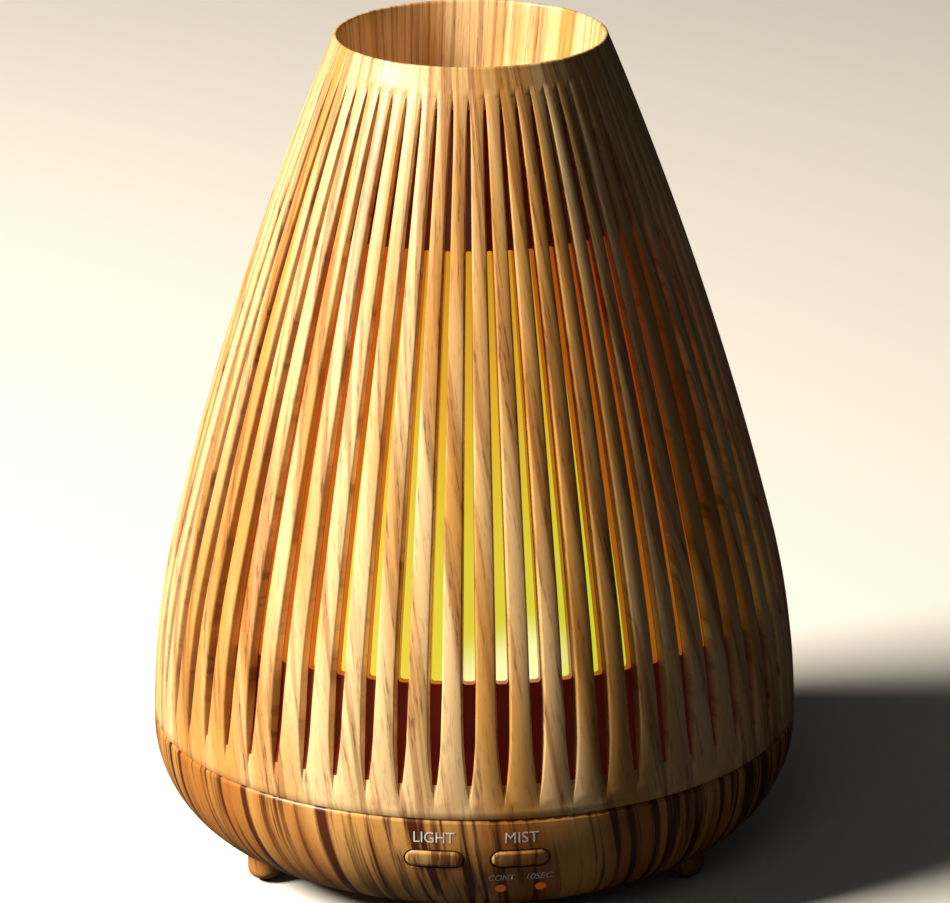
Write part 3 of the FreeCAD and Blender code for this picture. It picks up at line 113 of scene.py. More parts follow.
def printedWood(name, lean, lineWidth, pale, honey, line, lineStrength):
    # wood grain film stretched over moulded polypropylene: leaning lines, short dark pores, satin lacquer
    material, tree, shader, place = newMaterial(name, wood["roughness"], 1.49)
    # the film lies round the axis, so its pattern reads direction and level but not depth
    parts = addNode(tree, "ShaderNodeSeparateXYZ", links={"Vector": place})
    flat = addNode(tree, "ShaderNodeVectorMath", operation="MULTIPLY", links={0: place},
                   inputs={1: (1, 1, 0)})
    outward = addNode(tree, "ShaderNodeVectorMath", operation="NORMALIZE", links={0: flat.outputs[0]})
    twist = addNode(tree, "ShaderNodeMath", operation="MULTIPLY", links={0: parts.outputs["Z"]},
                    inputs={1: lean / (wood["girth"] * mm)})
    turned = addNode(tree, "ShaderNodeVectorRotate", rotation_type="Z_AXIS",
                     links={"Vector": outward.outputs[0], "Angle": twist.outputs[0]})
    wrapped = addNode(tree, "ShaderNodeVectorMath", operation="SCALE", links={0: turned.outputs[0]},
                      inputs={"Scale": wood["girth"] * mm})
    level = addNode(tree, "ShaderNodeCombineXYZ", links={"Z": parts.outputs["Z"]})
    film = addNode(tree, "ShaderNodeVectorMath", operation="ADD",
                   links={0: wrapped.outputs[0], 1: level.outputs[0]})
    wide = addNode(tree, "ShaderNodeMapping", vector_type="TEXTURE", links={"Vector": film.outputs[0]},
                   inputs={"Scale": (30 * mm, 30 * mm, 80 * mm)})
    waver = addNode(tree, "ShaderNodeTexNoise", links={"Vector": wide.outputs[0]},
                    inputs={"Scale": 1.0, "Detail": 1.0})
    bend = addNode(tree, "ShaderNodeVectorMath", operation="MULTIPLY_ADD",
                   links={0: waver.outputs["Color"], 2: film.outputs[0]},
                   inputs={1: (wood["waver"] * mm, wood["waver"] * mm, 0)})

    def grain(width, length, detail, stops):
        sized = addNode(tree, "ShaderNodeMapping", vector_type="TEXTURE", links={"Vector": bend.outputs[0]},
                        inputs={"Location": (width * 9 * mm, width * 5 * mm, 0),
                                "Scale": (width * mm, width * mm, length * mm)})
        noise = addNode(tree, "ShaderNodeTexNoise", links={"Vector": sized.outputs[0]},
                        inputs={"Scale": 1.0, "Detail": detail, "Roughness": 0.55})
        return noise, addNode(tree, "ShaderNodeValToRGB", links={"Fac": noise.outputs["Fac"]}, stops=stops)

    bands = grain(wood["bandWidth"], 180, 2, {0.38: honey, 0.58: pale})[1]
    lines, drawn = grain(lineWidth, 110, 3,
                         {0.49: 0.0, 0.55: lineStrength * 0.5, 0.61: lineStrength})
    pores = grain(wood["poreWidth"], wood["poreLength"], 2, {0.56: 0.0, 0.66: 1.0})[1]
    lined = addNode(tree, "ShaderNodeMix", data_type="RGBA",
                    links={0: drawn.outputs["Color"], 6: bands.outputs["Color"]},
                    inputs={7: linearColour(line)})
    # pores crowd into the dark lines
    crowd = addNode(tree, "ShaderNodeMapRange", links={"Value": drawn.outputs["Color"]},
                    inputs={"To Min": 0.25, "To Max": 0.85})
    dotted = addNode(tree, "ShaderNodeMath", operation="MULTIPLY",
                     links={0: pores.outputs["Color"], 1: crowd.outputs[0]})
    pored = addNode(tree, "ShaderNodeMix", data_type="RGBA",
                    links={0: dotted.outputs[0], 6: lined.outputs[2]},
                    inputs={7: linearColour(wood["pore"])})
    relief = addNode(tree, "ShaderNodeBump", inputs={"Strength": 0.3, "Distance": 0.1 * mm},
                     links={"Height": lines.outputs["Fac"]})
    tree.links.new(pored.outputs[2], shader.inputs["Base Color"])
    tree.links.new(relief.outputs[0], shader.inputs["Normal"])
    return material


def moulded(name, colour, roughness, ior=1.5, grit=0.8, relief=0.15, metallic=0.0, tone=9.0):
    # moulded or sleeved finish: a fine grit in the gloss and a slow change of tone
    material, tree, shader, place = newMaterial(name, roughness, ior, metallic)
    cloud = addNode(tree, "ShaderNodeTexNoise", links={"Vector": place},
                    inputs={"Scale": 1 / (tone * mm), "Detail": 3.0})
    mixed = addNode(tree, "ShaderNodeMix", data_type="RGBA", links={0: cloud.outputs["Fac"]},
                    inputs={6: linearColour(colour, 0.82), 7: linearColour(colour, 1.12)})
    skin = addNode(tree, "ShaderNodeTexNoise", links={"Vector": place},
                   inputs={"Scale": 1 / (grit * mm), "Detail": 2.0})
    bump = addNode(tree, "ShaderNodeBump", inputs={"Strength": relief, "Distance": 0.05 * mm},
                   links={"Height": skin.outputs["Fac"]})
    tree.links.new(mixed.outputs[2], shader.inputs["Base Color"])
    tree.links.new(bump.outputs[0], shader.inputs["Normal"])
    return material, tree, shader, place


def circuitBoard(name, mask, track):
    # glass-epoxy board under solder mask: the copper shows as slightly raised lighter lines
    material, tree, shader, place = newMaterial(name, 0.3)
    tracks = addNode(tree, "ShaderNodeTexBrick", links={"Vector": place},
                     inputs={"Scale": 1 / (5 * mm), "Mortar Size": 0.05, "Brick Width": 1.6,
                             "Row Height": 0.32, "Color1": linearColour(mask),
                             "Color2": linearColour(mask, 0.85), "Mortar": linearColour(track)})
    bump = addNode(tree, "ShaderNodeBump", inputs={"Strength": 0.4, "Distance": 0.035 * mm},
                   links={"Height": tracks.outputs["Fac"]})
    tree.links.new(tracks.outputs["Color"], shader.inputs["Base Color"])
    tree.links.new(bump.outputs[0], shader.inputs["Normal"])
    return material


# painted light on the shade: emission colours stand in for the colour lamps' light, amber towards the top,
# with a painted highlight on the left and painted pools of light over the nearest lamps
glow = {
    "top": "#B8821C",           # amber under the cone
    "middle": "#D2B02C",
    "low": "#CDCB3A",
    "left": "#F2DC62",          # paler on the left: a painted highlight where the key light falls from the left
    "right": "#9CCB2C",         # greener on the right
    "hot": "#F2FFC0",           # painted pools of light over the nearest lamps
    "hotPlaces": [(12.0, -60.0, 62.0), (3.0, -61.0, 58.0)],
    "strength": 1.0,
}


def paintedGlowShade():
    # frosted polypropylene with painted light: its glow from the colour lamps inside is emission in the
    # material, not light from the modelled lamps
    material, tree, shader, place = moulded("frostedPolypropylenePaintedGlow", "#A8925A", 0.5)
    low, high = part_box("light_shade")
    parts = addNode(tree, "ShaderNodeSeparateXYZ", links={"Vector": place})
    height = addNode(tree, "ShaderNodeMapRange", links={"Value": parts.outputs["Z"]},
                     inputs={"From Min": low.z, "From Max": high.z})
    colour = addNode(tree, "ShaderNodeValToRGB", links={"Fac": height.outputs[0]},
                     stops={0.1: glow["low"], 0.35: glow["low"], 0.6: glow["middle"],
                            0.92: glow["top"]}).outputs["Color"]
    lowness = addNode(tree, "ShaderNodeMapRange", links={"Value": height.outputs[0]},
                      inputs={"From Min": 0.95, "From Max": 0.45})
    # the left side mixes towards the painted highlight's paler colour, the right side towards green
    for side, edge in (("left", low.x), ("right", high.x)):
        toSide = addNode(tree, "ShaderNodeMapRange", links={"Value": parts.outputs["X"]},
                         inputs={"From Min": edge * 0.1, "From Max": edge * 0.75, "To Max": 0.85})
        share = addNode(tree, "ShaderNodeMath", operation="MULTIPLY",
                        links={0: toSide.outputs[0], 1: lowness.outputs[0]})
        colour = addNode(tree, "ShaderNodeMix", data_type="RGBA", links={0: share.outputs[0], 6: colour},
                         inputs={7: linearColour(glow[side])}).outputs[2]
    for spot in glow["hotPlaces"]:
        away = addNode(tree, "ShaderNodeVectorMath", operation="DISTANCE", links={0: place},
                       inputs={1: Vector(spot) * mm})
        near = addNode(tree, "ShaderNodeMapRange", interpolation_type="SMOOTHSTEP",
                       links={"Value": away.outputs["Value"]},
                       inputs={"From Min": 12 * mm, "From Max": 2 * mm, "To Max": 0.8})
        colour = addNode(tree, "ShaderNodeMix", data_type="RGBA", links={0: near.outputs[0], 6: colour},
                         inputs={7: linearColour(glow["hot"])}).outputs[2]
    # the painted glow goes in as emission
    tree.links.new(colour, shader.inputs["Emission Color"])
    shader.inputs["Emission Strength"].default_value = glow["strength"]
    return material


def lamp(name, body, light, strength):
    # moulded finish with emission: a clear lens with its lamp on behind it; on the cover's grooves and
    # window walls the same emission is painted glow
    material, tree, shader, place = moulded(name, body, 0.2, 1.49, relief=0.02)
    shader.inputs["Emission Color"].default_value = linearColour(light)
    shader.inputs["Emission Strength"].default_value = strength
    return material


# grain printed on film under a satin coat: the ribs shine softly and the lines stay on the surface
coverWood = printedWood("woodFilmCover", 0.12, 2.1, "#E8C692", "#C8934F", "#84491D", 0.55)
# the same film in a darker print, so the base looks heavier than the cover
baseWood = printedWood("woodFilmBase", 0.13, 1.9, "#CF9A55", "#A9692B", "#50230B", 1.0)
# the film without its lean: on so short a cap the lines stand straight
buttonWood = printedWood("woodFilmButton", 0.0, 1.9, "#D9AC6A", "#BE8544", "#6B3514", 0.9)
# painted shade on the groove floors: dark maroon plastic with a dim painted glow standing in for the lamps'
# light that seeps through
grooveShade = lamp("grooveFloorPaintedShade", "#6A2412", "#7A1408", 0.12)
# painted light on the window walls: orange with a dim emission standing in for the lamps' glow falling on
# them
windowWallGlow = lamp("windowWallPaintedGlow", "#B8622A", "#C0521A", 0.3)
# a polished mould leaves the tank white, smooth and glossy
polypropylene = moulded("polishedPolypropylene", "#E9E9E2", 0.22, relief=0.04)[0]
# an eroded mould leaves the underside dull brown with a fine even texture
plate = moulded("texturedPolypropylene", "#5A3A22", 0.55, relief=0.4)[0]
# rubber pressed in a plain mould: near black, with hardly any gloss
rubber = moulded("nitrileRubber", "#1D1B1A", 0.75, 1.52, 0.5, 0.4)[0]
# cured silicone: milky grey and faintly sheeny, with a soft skin
silicone = moulded("siliconeRubber", "#D9DBD6", 0.48, 1.41, 0.6, 0.1)[0]
# zinc plated in a barrel: cold grey metal, bright but finely scuffed
steel = moulded("zincPlatedSteel", "#B9BABD", 0.3, grit=0.25, relief=0.3, metallic=1.0, tone=1.5)[0]
# silver paste fired on ceramic: pale metal with a slightly rough bloom
silver = moulded("firedSilver", "#D2D0C8", 0.32, grit=0.3, relief=0.4, metallic=1.0, tone=2.5)[0]
# nickel plated from a bath: smooth, warm grey and clearly shiny
nickel = moulded("nickelPlate", "#CFC8B8", 0.2, grit=0.3, relief=0.1, metallic=1.0, tone=2.0)[0]
# varnished wire wound close: reddish metal with a strong fine relief
copper = moulded("enamelledCopper", "#B4602C", 0.3, grit=0.35, relief=0.9, metallic=1.0, tone=0.8)[0]
# glass fibres near the skin leave the black nylon slightly dull and speckled
nylon = moulded("glassFilledNylon", "#161617", 0.42, 1.53, 0.5, 0.3)[0]
# uncoloured ABS: off-white with a soft even shine
absPlastic = moulded("naturalAbs", "#D2D0C6", 0.35, 1.53)[0]
# filled epoxy from a matt mould: dull black with a sandy grain
epoxy = moulded("mouldedEpoxy", "#19191B", 0.55, 1.55, 0.3, 0.5)[0]
# uncoloured nylon: warm cream with a waxy shine
creamNylon = moulded("creamNylon", "#DED8C4", 0.42, 1.53)[0]
# film shrunk tight on the can: dark blue, smooth and glossy
sleeve = moulded("shrunkPetSleeve", "#18204A", 0.25, 1.57, 1.5, 0.08)[0]
# PVC extruded round the wire: even colour, smooth, with a soft shine
redPvc = moulded("redPvcSleeve", "#A3160F", 0.38, 1.53, 0.6, 0.1)[0]
blackPvc = moulded("blackPvcSleeve", "#161616", 0.38, 1.53, 0.6, 0.1)[0]
whitePvc = moulded("whitePvcSleeve", "#DCDCD6", 0.38, 1.53, 0.6, 0.1)[0]
# solder mask cured over copper: glossy, with the tracks just raised
greenBoard = circuitBoard("greenSolderMask", "#0F5A2C", "#2F8E50")
whiteBoard = circuitBoard("whiteSolderMask", "#E2E2DC", "#F6F4EC")
# a blasted mould frosts the wall; the even glow, with no lamp seen sharp, is painted light from emission
frostedPaintedGlow = paintedGlowShade()
# cast epoxy over a lit chip: clear and brightly warm
ledLens = lamp("ledEpoxy", "#FFF2C4", "#FFF0A8", 2.0)
# acrylic with a dim lamp behind it: glossy amber
amberLens = lamp("amberAcrylic", "#B4501C", "#D9601C", 0.22)
nodeFinish = {
    coverWood: ["outer_cover"],
    baseWood: ["base_shell"],
    buttonWood: ["light_button", "mist_button"],
    frostedPaintedGlow: ["light_shade"],
    polypropylene: ["water_tank"],
    plate: ["bottom_plate"],
    rubber: ["foot_pads"],
    silicone: ["deck_seal", "transducer_seal"],
    steel: ["bottom_screws", "deck_screws", "clamp_screws", "fan_screws", "board_screws"],
    silver: ["transducer_disc"],
    nickel: ["dc_pin"],
    copper: ["drive_coil"],
    nylon: ["fan_housing", "fan_rotor", "dc_jack", "light_switch", "mist_switch"],
    absPlastic: ["fan_duct", "transducer_clamp"],
    epoxy: ["control_chip", "driver_transistors"],
    creamNylon: ["board_connectors", "light_plunger", "mist_plunger"],
    sleeve: ["storage_capacitor"],
    redPvc: ["power_lead", "transducer_lead"],
    blackPvc: ["fan_lead"],
    whitePvc: ["control_lead", "led_lead"],
    greenBoard: ["main_board", "control_board"],
    whiteBoard: ["led_ring_board"],
    ledLens: ["colour_leds", "indicator_leds"],
    amberLens: ["continuous_light_pipe", "timer_light_pipe"],
}
for finish, names in nodeFinish.items():
    for name in names:
        wear(nodes[name], finish)
print("finishes made and worn")

# in millimetres and degrees; shares and eases are plain numbers
cover = {
    "flutes": 60,
    "turn": -1.26,              # flutes against the buttons
    "widest": 70.0,
    "upright": 29.1,            # level at which the side stands straight up
    "lowerArc": 180.0,
    "upperArc": 767.0,
    "wall": 4.3,
    "seam": 31.1,
    "bevel": 0.4,
    "fluteLow": 35.4,
    "windowLow": 59.5,
    "windowTop": 145.8,
    "fluteTop": 175.8,
    "height": 181.6,
    "rim": 28.9,
    "widthLow": 2.1,            # flute widths at its foot, at the window's foot and at its top
    "widthWide": 2.9,
    "widthTop": 0.8,
    "depthLow": 2.35,
    "depthTop": 1.5,
    "sliver": 0.03,             # half width kept beyond the flute's ends, so that no points meet
    "depthEase": 0.6,           # under 1 the floor dives sooner and the point widens sooner
    "pointEaseLow": 0.6,
    "pointEaseTop": 0.35,
    "taperLow": 15.0,           # lengths over which the floor runs out
    "taperTop": 7.0,
    "pointLow": 11.0,           # lengths over which the flute narrows to its point
    "pointTop": 9.0,
    "edgeRound": 0.45,
    "floorShare": 0.92,         # floor and window widths over the flute's
    "windowShare": 0.86,
    "windowCorner": 0.6,
    "lip": 1.0,
    "neckLean": 0.9,
    "dishDepth": 18.0,
    "dishRound": 6.0,
    "dishFall": 1.5,
    "dishWall": 2.2,
    "outlet": 6.5,
    "collarWall": 1.8,
    "collarLength": 7.0,
}


def upperCentre():
    # the upper side arc touches the lower one and ends at the mouth
    middle = cover["widest"] - cover["lowerArc"]
    acrossX = cover["rim"] - middle
    acrossZ = cover["height"] - cover["upright"]
    reach = math.hypot(acrossX, acrossZ)
    step = cover["upperArc"] - cover["lowerArc"]
    along = (step ** 2 - cover["upperArc"] ** 2 + reach ** 2) / (2 * reach)
    across = math.sqrt(step ** 2 - along ** 2)
    x = middle + (along * acrossX - across * acrossZ) / reach
    z = cover["upright"] + (along * acrossZ + across * acrossX) / reach
    return x, z, step


upperX, upperZ, arcStep = upperCentre()
halfSector = 180 / cover["flutes"]      # degrees from a flute's middle to the middle of a rib
halfColumns = 6                         # points across the same stretch


def sideRadius(z, inset=0.0):
    # radius of the cover's side at a level, or of a surface that far inside it
    lean = (cover["upright"] - upperZ) / arcStep
    if z < cover["upright"] + (cover["lowerArc"] - inset) * lean:
        centre, middle, arc = cover["widest"] - cover["lowerArc"], cover["upright"], cover["lowerArc"]
    else:
        centre, middle, arc = upperX, upperZ, cover["upperArc"]
    return centre + math.sqrt((arc - inset) ** 2 - (z - middle) ** 2)


def easeIn(share):
    share = min(max(share, 0.0), 1.0)
    return share * share * (3 - 2 * share)


def fluteAt(z):
    # half width, floor depth and edge rounding of a flute at a level
    low, top = cover["fluteLow"], cover["fluteTop"]
    if z <= low or z >= top:
        return cover["sliver"], 0.0, 0.0
    window = cover["windowLow"]
    if z < window:
        share = (z - low) / (window - low)
        width = cover["widthLow"] + (cover["widthWide"] - cover["widthLow"]) * share
    else:
        share = (z - window) / (top - window)
        width = cover["widthWide"] + (cover["widthTop"] - cover["widthWide"]) * share
    depthShare = min(max((z - window) / (cover["windowTop"] - window), 0), 1)
    depth = cover["depthLow"] + (cover["depthTop"] - cover["depthLow"]) * depthShare
    ease = cover["depthEase"]
    depth *= easeIn((z - low) / cover["taperLow"]) ** ease * easeIn((top - z) / cover["taperTop"]) ** ease
    width *= (min((z - low) / cover["pointLow"], 1) ** cover["pointEaseLow"]
              * min((top - z) / cover["pointTop"], 1) ** cover["pointEaseTop"])
    return max(width / 2, cover["sliver"]), depth, min(cover["edgeRound"], depth * 0.6, width * 0.3)


def windowAt(z):
    # half width of the window, rounded off at its two ends
    half = fluteAt(z)[0] * cover["windowShare"]
    corner = min(cover["windowCorner"], half * 0.6)
    short = corner - max(min(z - cover["windowLow"], cover["windowTop"] - z), 0.0)
    return half - corner + math.sqrt(corner ** 2 - max(short, 0.0) ** 2)


def between(start, stop, count):
    return [start + (stop - start) * i / count for i in range(count)]


def coverPath():
    # the wall's closed outline: up the outside, over the lip, down the mouth, along the dish, round
    # the outlet's collar and back down the inside. Each row is its kind, radius and level, and rows
    # crowd where the outline turns
    c = cover
    windowEnd = [0.0, 0.1, 0.3, c["windowCorner"]]
    window = [c["windowLow"] + step for step in windowEnd]
    window += between(c["windowLow"] + 4, c["windowTop"] - 1.5, 15)
    window += [c["windowTop"] - step for step in reversed(windowEnd)]
    outside = [c["seam"] + c["bevel"], c["seam"] + 2]
    outside += [c["fluteLow"] + step for step in (0.0, 0.15, 0.5, 1.1, 2, 3.2, 5, 7, 9, 12, 16, 20)]
    outside += [c["windowLow"] - 0.5]
    above = [c["windowTop"] + 0.5] + between(c["windowTop"] + 5, c["fluteTop"] - 14, 2)
    above += [c["fluteTop"] - step for step in (14, 11, 8.5, 6, 4, 2.5, 1.4, 0.6, 0.2, 0.0)]
    above += [c["fluteTop"] + 2, c["height"] - 1.5, c["height"] - c["lip"] / 2]
    rows = [("plain", sideRadius(c["seam"], c["bevel"]), c["seam"])]
    rows += [("flute", sideRadius(z), z) for z in outside]
    rows += [("window", sideRadius(z), z) for z in window]
    rows += [("flute", sideRadius(z), z) for z in above]
    lipRound = c["lip"] / 2
    lipRadius = sideRadius(c["height"] - lipRound) - lipRound
    for step in range(1, 6):
        turn = math.pi * step / 5
        level = c["height"] - lipRound + lipRound * math.sin(turn)
        rows.append(("plain", lipRadius + lipRound * math.cos(turn), level))
    neck = c["rim"] - c["lip"] - c["neckLean"]
    dish = c["height"] - c["dishDepth"]
    mouth = rows[-1][1]
    for share in (0.3, 0.65):
        level = c["height"] - lipRound + (dish + c["dishRound"] - c["height"] + lipRound) * share
        rows.append(("plain", mouth + (neck - mouth) * share, level))
    for step in range(6):
        turn = math.pi / 2 * step / 5
        rows.append(("plain", neck - c["dishRound"] * (1 - math.cos(turn)),
                     dish + c["dishRound"] * (1 - math.sin(turn))))
    middle = dish - c["dishFall"]
    under = dish - c["dishWall"]
    collar = c["outlet"] + c["collarWall"]
    inner = sideRadius(under, c["wall"])
    foot = middle - c["collarLength"]
    for x, z in ((c["outlet"] + 7, middle + 0.7), (c["outlet"] + 0.8, middle + 0.08),
                 (c["outlet"] + 0.2, middle - 0.2), (c["outlet"], middle - 0.8),
                 (c["outlet"], foot + 0.2), (c["outlet"] + 0.2, foot), (collar - 0.2, foot),
                 (collar, foot + 0.2), (collar, under), (neck - c["dishRound"], under),
                 (inner - 0.3, under)):
        rows.append(("plain", x, z))
    inside = [under - 0.3, c["windowTop"] + 7, c["windowTop"] + 1]
    rows += [("inner", sideRadius(z, c["wall"]), z) for z in inside]
    rows += [("pane", sideRadius(z, c["wall"]), z) for z in reversed(window)]
    inside = [c["windowLow"] - 1, c["windowLow"] - 8, c["seam"] + 2, c["seam"] + 0.3]
    rows += [("inner", sideRadius(z, c["wall"]), z) for z in inside]
    rows.append(("plain", sideRadius(c["seam"], c["wall"]) + 0.3, c["seam"]))
    rows.append(rows[0])
    return rows


def coverPoint(row, column):
    # a row's points run across one flute, from rib to rib, with the flute's middle halfway
    kind, radius, z = row
    step = abs(column - halfColumns)
    half, depth, edge = fluteAt(z)
    sink = 0.0
    if kind == "plain":
        angle = math.radians(halfSector) * step / halfColumns
    else:
        floor = half * cover["floorShare"]
        clear = windowAt(z) if kind in ("window", "pane") else floor * 0.6
        across = [0.0, clear, floor, half, half + edge * 0.3, half + edge][min(step, 5)]
        if kind in ("flute", "window"):
            sink = [depth, depth, depth, edge, edge * 0.3, 0.0][min(step, 5)]
        angle = math.radians(halfSector) if step == halfColumns else across / (radius - sink)
    angle = math.copysign(angle, column - halfColumns) + math.radians(cover["turn"])
    reach = (radius - sink) * mm
    return Vector((reach * math.sin(angle), -reach * math.cos(angle), z * mm))


def flutedCover():
    # one flute's sector is shaped from a grid, its window is cut and walled, then it is spun round
    rows = coverPath()
    pickOnly(nodes["outer_cover"])
    bpy.ops.object.select_all(action="DESELECT")
    bpy.ops.mesh.primitive_grid_add(x_subdivisions=2 * halfColumns, y_subdivisions=len(rows) - 1, size=2)
    piece = bpy.context.object
    piece.name = "fluted_cover"
    mesh = piece.data
    spots = {}
    for vertex in mesh.vertices:
        column = round((vertex.co.x + 1) * halfColumns)
        row = round((vertex.co.y + 1) / 2 * (len(rows) - 1))
        spots[vertex.index] = (column, row)
        vertex.co = coverPoint(rows[row], column)
    for finish in (coverWood, grooveShade, windowWallGlow):
        mesh.materials.append(finish)
    for item in (*mesh.vertices, *mesh.edges, *mesh.polygons):
        item.select = False
    for face in mesh.polygons:
        columns = [spots[i][0] for i in face.vertices]
        kinds = {rows[spots[i][1]][0] for i in face.vertices}
        inWindow = min(columns) >= halfColumns - 1 and max(columns) <= halfColumns + 1
        face.select = inWindow and kinds in ({"window"}, {"pane"})
        onFloor = min(columns) >= halfColumns - 2 and max(columns) <= halfColumns + 2
        # the deep groove floors wear the painted shade
        if onFloor and kinds <= {"flute", "window"}:
            deep = min(fluteAt(rows[spots[i][1]][2])[1] for i in face.vertices)
            face.material_index = 1 if deep > 0.5 else 0
    bpy.ops.object.mode_set(mode="EDIT")
    bpy.ops.mesh.select_mode(type="FACE")
    bpy.ops.mesh.delete(type="FACE")
    bpy.ops.mesh.select_mode(type="EDGE")
    bpy.ops.mesh.select_all(action="SELECT")
    bpy.ops.mesh.remove_doubles(threshold=1e-7)
    bpy.ops.object.mode_set(mode="OBJECT")
    # the two window outlines are the only open edges away from the sector's own sides
    useCount = {}
    for face in mesh.polygons:
        for key in face.edge_keys:
            useCount[key] = useCount.get(key, 0) + 1
    side = math.radians(halfSector - 0.1)

    def turned(vertex):
        return math.atan2(vertex.co.x, -vertex.co.y) - math.radians(cover["turn"])

    for item in (*mesh.vertices, *mesh.polygons):
        item.select = False
    for edge in mesh.edges:
        ends = [mesh.vertices[i] for i in edge.vertices]
        edge.select = useCount.get(tuple(sorted(edge.vertices)), 0) == 1 and all(
            abs(turned(end)) < side for end in ends)
    bpy.ops.object.mode_set(mode="EDIT")
    bpy.ops.mesh.select_mode(type="EDGE")
    bpy.ops.mesh.bridge_edge_loops()
    # the window walls wear the painted glow
    piece.active_material_index = 2
    bpy.ops.object.material_slot_assign()
    bpy.ops.mesh.select_all(action="SELECT")
    turns = cover["flutes"]
    bpy.ops.mesh.spin(steps=turns - 1, dupli=True, angle=2 * math.pi * (turns - 1) / turns,
                      center=(0, 0, 0), axis=(0, 0, 1))
    bpy.ops.mesh.select_all(action="SELECT")
    bpy.ops.mesh.remove_doubles(threshold=2e-6)
    bpy.ops.mesh.normals_make_consistent(inside=False)
    bpy.ops.object.mode_set(mode="OBJECT")
    bpy.ops.object.shade_smooth_by_angle(angle=math.radians(50))
    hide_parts("outer_cover")
    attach(piece, "cover")
    print("fluted cover,", sum(len(face.vertices) - 2 for face in mesh.polygons), "triangles")


flutedCover()

# in millimetres
button = {
    "length": 12.3,
    "width": 4.2,
    "level": 21.9,
    "apart": 9.0,               # each side of the middle
    "show": 0.35,
    "depth": 4.0,
    "edge": 1.0,                # full rounding that makes the cap a pillow
    "flange": 1.2,              # stops the cap from falling out
    "flangeThick": 0.8,
    "cutPitch": 1.3,            # cuts along the cap that let it bend round the bowl
    "bowlArc": 25.3,
    "bowlMiddle": 44.7,
}


def bowlFront(x, z):
    # how far in front of the axis the base's bowl lies, in millimetres
    reach = button["bowlMiddle"] + math.sqrt(button["bowlArc"] ** 2 - (cover["upright"] - z) ** 2)
    return math.sqrt(reach ** 2 - x ** 2)


def pickFaces(mesh, wanted):
    # edit mode with only the wanted faces selected
    bpy.ops.object.mode_set(mode="OBJECT")
    for item in (*mesh.vertices, *mesh.edges):
        item.select = False
    for face in mesh.polygons:
        face.select = wanted(face)
    bpy.ops.object.mode_set(mode="EDIT")
    bpy.ops.mesh.select_mode(type="FACE")


def pickEdges(mesh, wanted):
    bpy.ops.object.mode_set(mode="OBJECT")
    for item in (*mesh.vertices, *mesh.polygons):
        item.select = False
    for edge in mesh.edges:
        edge.select = wanted(*(mesh.vertices[i].co for i in edge.vertices))
    bpy.ops.object.mode_set(mode="EDIT")
    bpy.ops.mesh.select_mode(type="EDGE")


def pillowButton(name, side, node, body):
    # a long block with round ends and a rounded front, flanged behind, then laid on the bowl
    bpy.ops.object.select_all(action="DESELECT")
    bpy.ops.mesh.primitive_cube_add(size=1, scale=(button["length"] * mm, button["depth"] * mm,
                                                   button["width"] * mm))
    piece = bpy.context.object
    piece.name = name
    applyPlace(piece)
    mesh = piece.data
    front, back = -button["depth"] / 2 * mm, button["depth"] / 2 * mm
    pickEdges(mesh, lambda a, b: abs(a.y - b.y) > 1 * mm)
    bpy.ops.mesh.bevel(offset=button["width"] * 0.499 * mm, segments=9, clamp_overlap=False)
    pickEdges(mesh, lambda a, b: abs(a.y - front) < 0.01 * mm and abs(b.y - front) < 0.01 * mm)
    bpy.ops.mesh.bevel(offset=button["edge"] * mm, segments=5, clamp_overlap=False)
    for step in range(-3, 4):
        bpy.ops.mesh.select_all(action="SELECT")
        bpy.ops.mesh.bisect(plane_co=(step * button["cutPitch"] * mm, 0, 0), plane_no=(1, 0, 0))
    pickFaces(mesh, lambda face: face.normal.y > 0.9 and abs(face.center.y - back) < 0.01 * mm)
    bpy.ops.mesh.extrude_region_move(TRANSFORM_OT_translate={"value": (0, 0, 0)})
    flange = button["flange"]
    bpy.ops.transform.resize(value=(1 + 2 * flange / button["length"], 1, 1 + 2 * flange / button["width"]))
    bpy.ops.mesh.extrude_region_move(TRANSFORM_OT_translate={"value": (0, button["flangeThick"] * mm, 0)})
    bpy.ops.mesh.select_all(action="SELECT")
    bpy.ops.mesh.remove_doubles(threshold=1e-6)
    bpy.ops.mesh.normals_make_consistent(inside=False)
    bpy.ops.object.mode_set(mode="OBJECT")
    for vertex in mesh.vertices:
        x = vertex.co.x / mm + side * button["apart"]
        z = vertex.co.z / mm + button["level"]
        behind = (vertex.co.y - front) / mm
        vertex.co = Vector((x, behind - button["show"] - bowlFront(x, z), z)) * mm
    bpy.ops.object.shade_smooth_by_angle(angle=math.radians(40))
    wear(piece, buttonWood)
    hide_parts(node)
    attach(piece, body)


pillowButton("light_button_cap", -1, "light_button", "light_button")
pillowButton("mist_button_cap", 1, "mist_button", "mist_button")
print("buttons shaped")

# printed words, in millimetres: text, width, height, place of the foot's middle, slant and stroke gain
label = {
    "ink": "#E6E4E0",
    "proud": 0.1,
    "words": [
        ("LIGHT", 8.5, 2.5, -9.0, 26.0, 0.0, 0.0),
        ("MIST", 7.0, 2.5, 9.35, 25.9, 0.0, 0.0),
        ("CONT.", 5.7, 1.75, 5.2, 16.05, 0.25, 0.012),
        ("10SEC.", 5.8, 1.75, 13.2, 16.05, 0.25, 0.012),
    ],
}


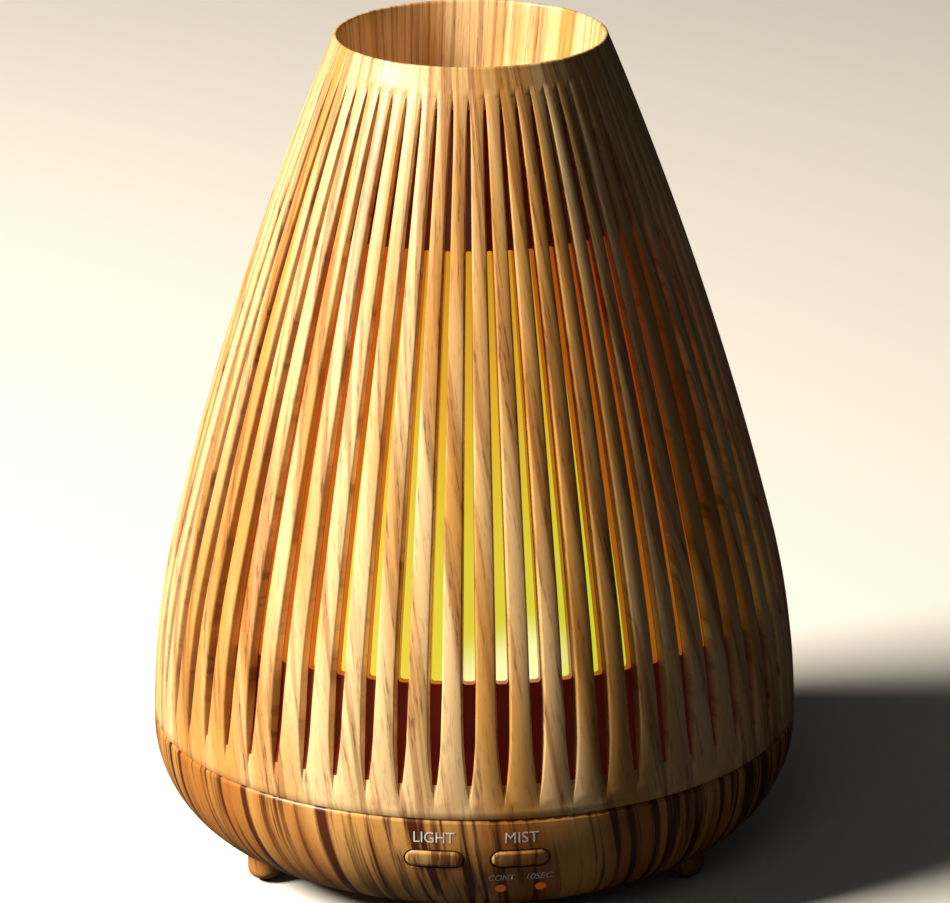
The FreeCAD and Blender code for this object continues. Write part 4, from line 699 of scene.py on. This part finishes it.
def printedWord(text, width, height, x, z, lean, gain, ink):
    # the word is made flat, brought to size and wrapped on the base's bowl
    bpy.ops.object.select_all(action="DESELECT")
    bpy.ops.object.text_add()
    word = bpy.context.object
    word.name = "label_" + text.strip(".").lower()
    word.data.body = text
    word.data.shear = lean
    word.data.offset = gain
    word.data.resolution_u = 4
    pickOnly(word)
    bpy.ops.object.convert(target="MESH")
    word = bpy.context.object
    spots = [vertex.co.copy() for vertex in word.data.vertices]
    lowX, highX = min(s.x for s in spots), max(s.x for s in spots)
    lowY, highY = min(s.y for s in spots), max(s.y for s in spots)
    for vertex, spot in zip(word.data.vertices, spots):
        across = x + ((spot.x - lowX) / (highX - lowX) - 0.5) * width
        level = z + (spot.y - lowY) / (highY - lowY) * height
        vertex.co = Vector((across, -bowlFront(across, level) - label["proud"], level)) * mm
    wear(word, ink)
    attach(word, "base")


ink = moulded("padPrintedInk", label["ink"], 0.45)[0]
for word in label["words"]:
    printedWord(*word, ink)
print("labels printed")

# metres, watts and degrees; the lens is in millimetres
studio = {
    "floor": "#F6F4F0",
    "floorBounce": "#2C2A28",   # what rays other than the camera's meet, so the shaded side stays deep
    "floorSize": 12.0,
    "world": 0.02,
    "keyPlace": (-1.15, -0.42, 0.95),
    "keySize": 0.5,
    "keyPower": 60.0,
    "keyColour": "#FFF4E2",
    "fillPlace": (-0.4, -1.7, 1.2),
    "fillSize": 0.8,
    "fillPower": 1.2,
    "fillColour": "#FFF6EA",
    "aim": (0.0, 0.0, 0.0884),
    "distance": 1.2258,
    "elevation": 18.69,
    "azimuth": -0.36,
    "roll": -0.31,
    "lens": 215.07,
    "shift": 0.0022,
}


def areaLight(name):
    place = studio[name + "Place"]
    bpy.ops.object.light_add(type="AREA", location=place)
    light = bpy.context.object
    light.name = name + "_light"
    light.data.size = studio[name + "Size"]
    light.data.energy = studio[name + "Power"]
    light.data.color = linearColour(studio[name + "Colour"])[:3]
    toward = Vector(studio["aim"]) - Vector(place)
    light.rotation_euler = toward.to_track_quat("-Z", "Y").to_euler()
    return light


def makeStudio():
    bpy.ops.object.select_all(action="DESELECT")
    bpy.ops.mesh.primitive_plane_add(size=studio["floorSize"])
    floor = bpy.context.object
    floor.name = "studio_floor"
    paper, tree, shader, place = moulded("mattPaper", studio["floor"], 0.8)
    rays = addNode(tree, "ShaderNodeLightPath")
    bounce = addNode(tree, "ShaderNodeMix", data_type="RGBA",
                     links={0: rays.outputs["Is Camera Ray"]},
                     inputs={6: linearColour(studio["floorBounce"]), 7: linearColour(studio["floor"])})
    tree.links.new(bounce.outputs[2], shader.inputs["Base Color"])
    wear(floor, paper)
    for name in ("key", "fill"):
        areaLight(name)
    world = bpy.data.worlds.new("softRoom")
    world.use_nodes = True
    background = world.node_tree.nodes["Background"]
    background.inputs["Color"].default_value = linearColour("#FFFFFF")
    background.inputs["Strength"].default_value = studio["world"]
    scene = bpy.context.scene
    scene.world = world
    scene.view_settings.view_transform = "Standard"
    turn, rise = math.radians(studio["azimuth"]), math.radians(studio["elevation"])
    back = Vector((math.sin(turn) * math.cos(rise), -math.cos(turn) * math.cos(rise), math.sin(rise)))
    bpy.ops.object.camera_add(location=Vector(studio["aim"]) + back * studio["distance"])
    camera = bpy.context.object
    facing = (-back).to_track_quat("-Z", "Y").to_matrix()
    camera.rotation_euler = (facing @ Matrix.Rotation(math.radians(studio["roll"]), 3, "Z")).to_euler()
    camera.data.lens = studio["lens"]
    camera.data.sensor_width = 36.0
    camera.data.shift_x = studio["shift"]
    scene.camera = camera
    print("studio ready")


makeStudio()
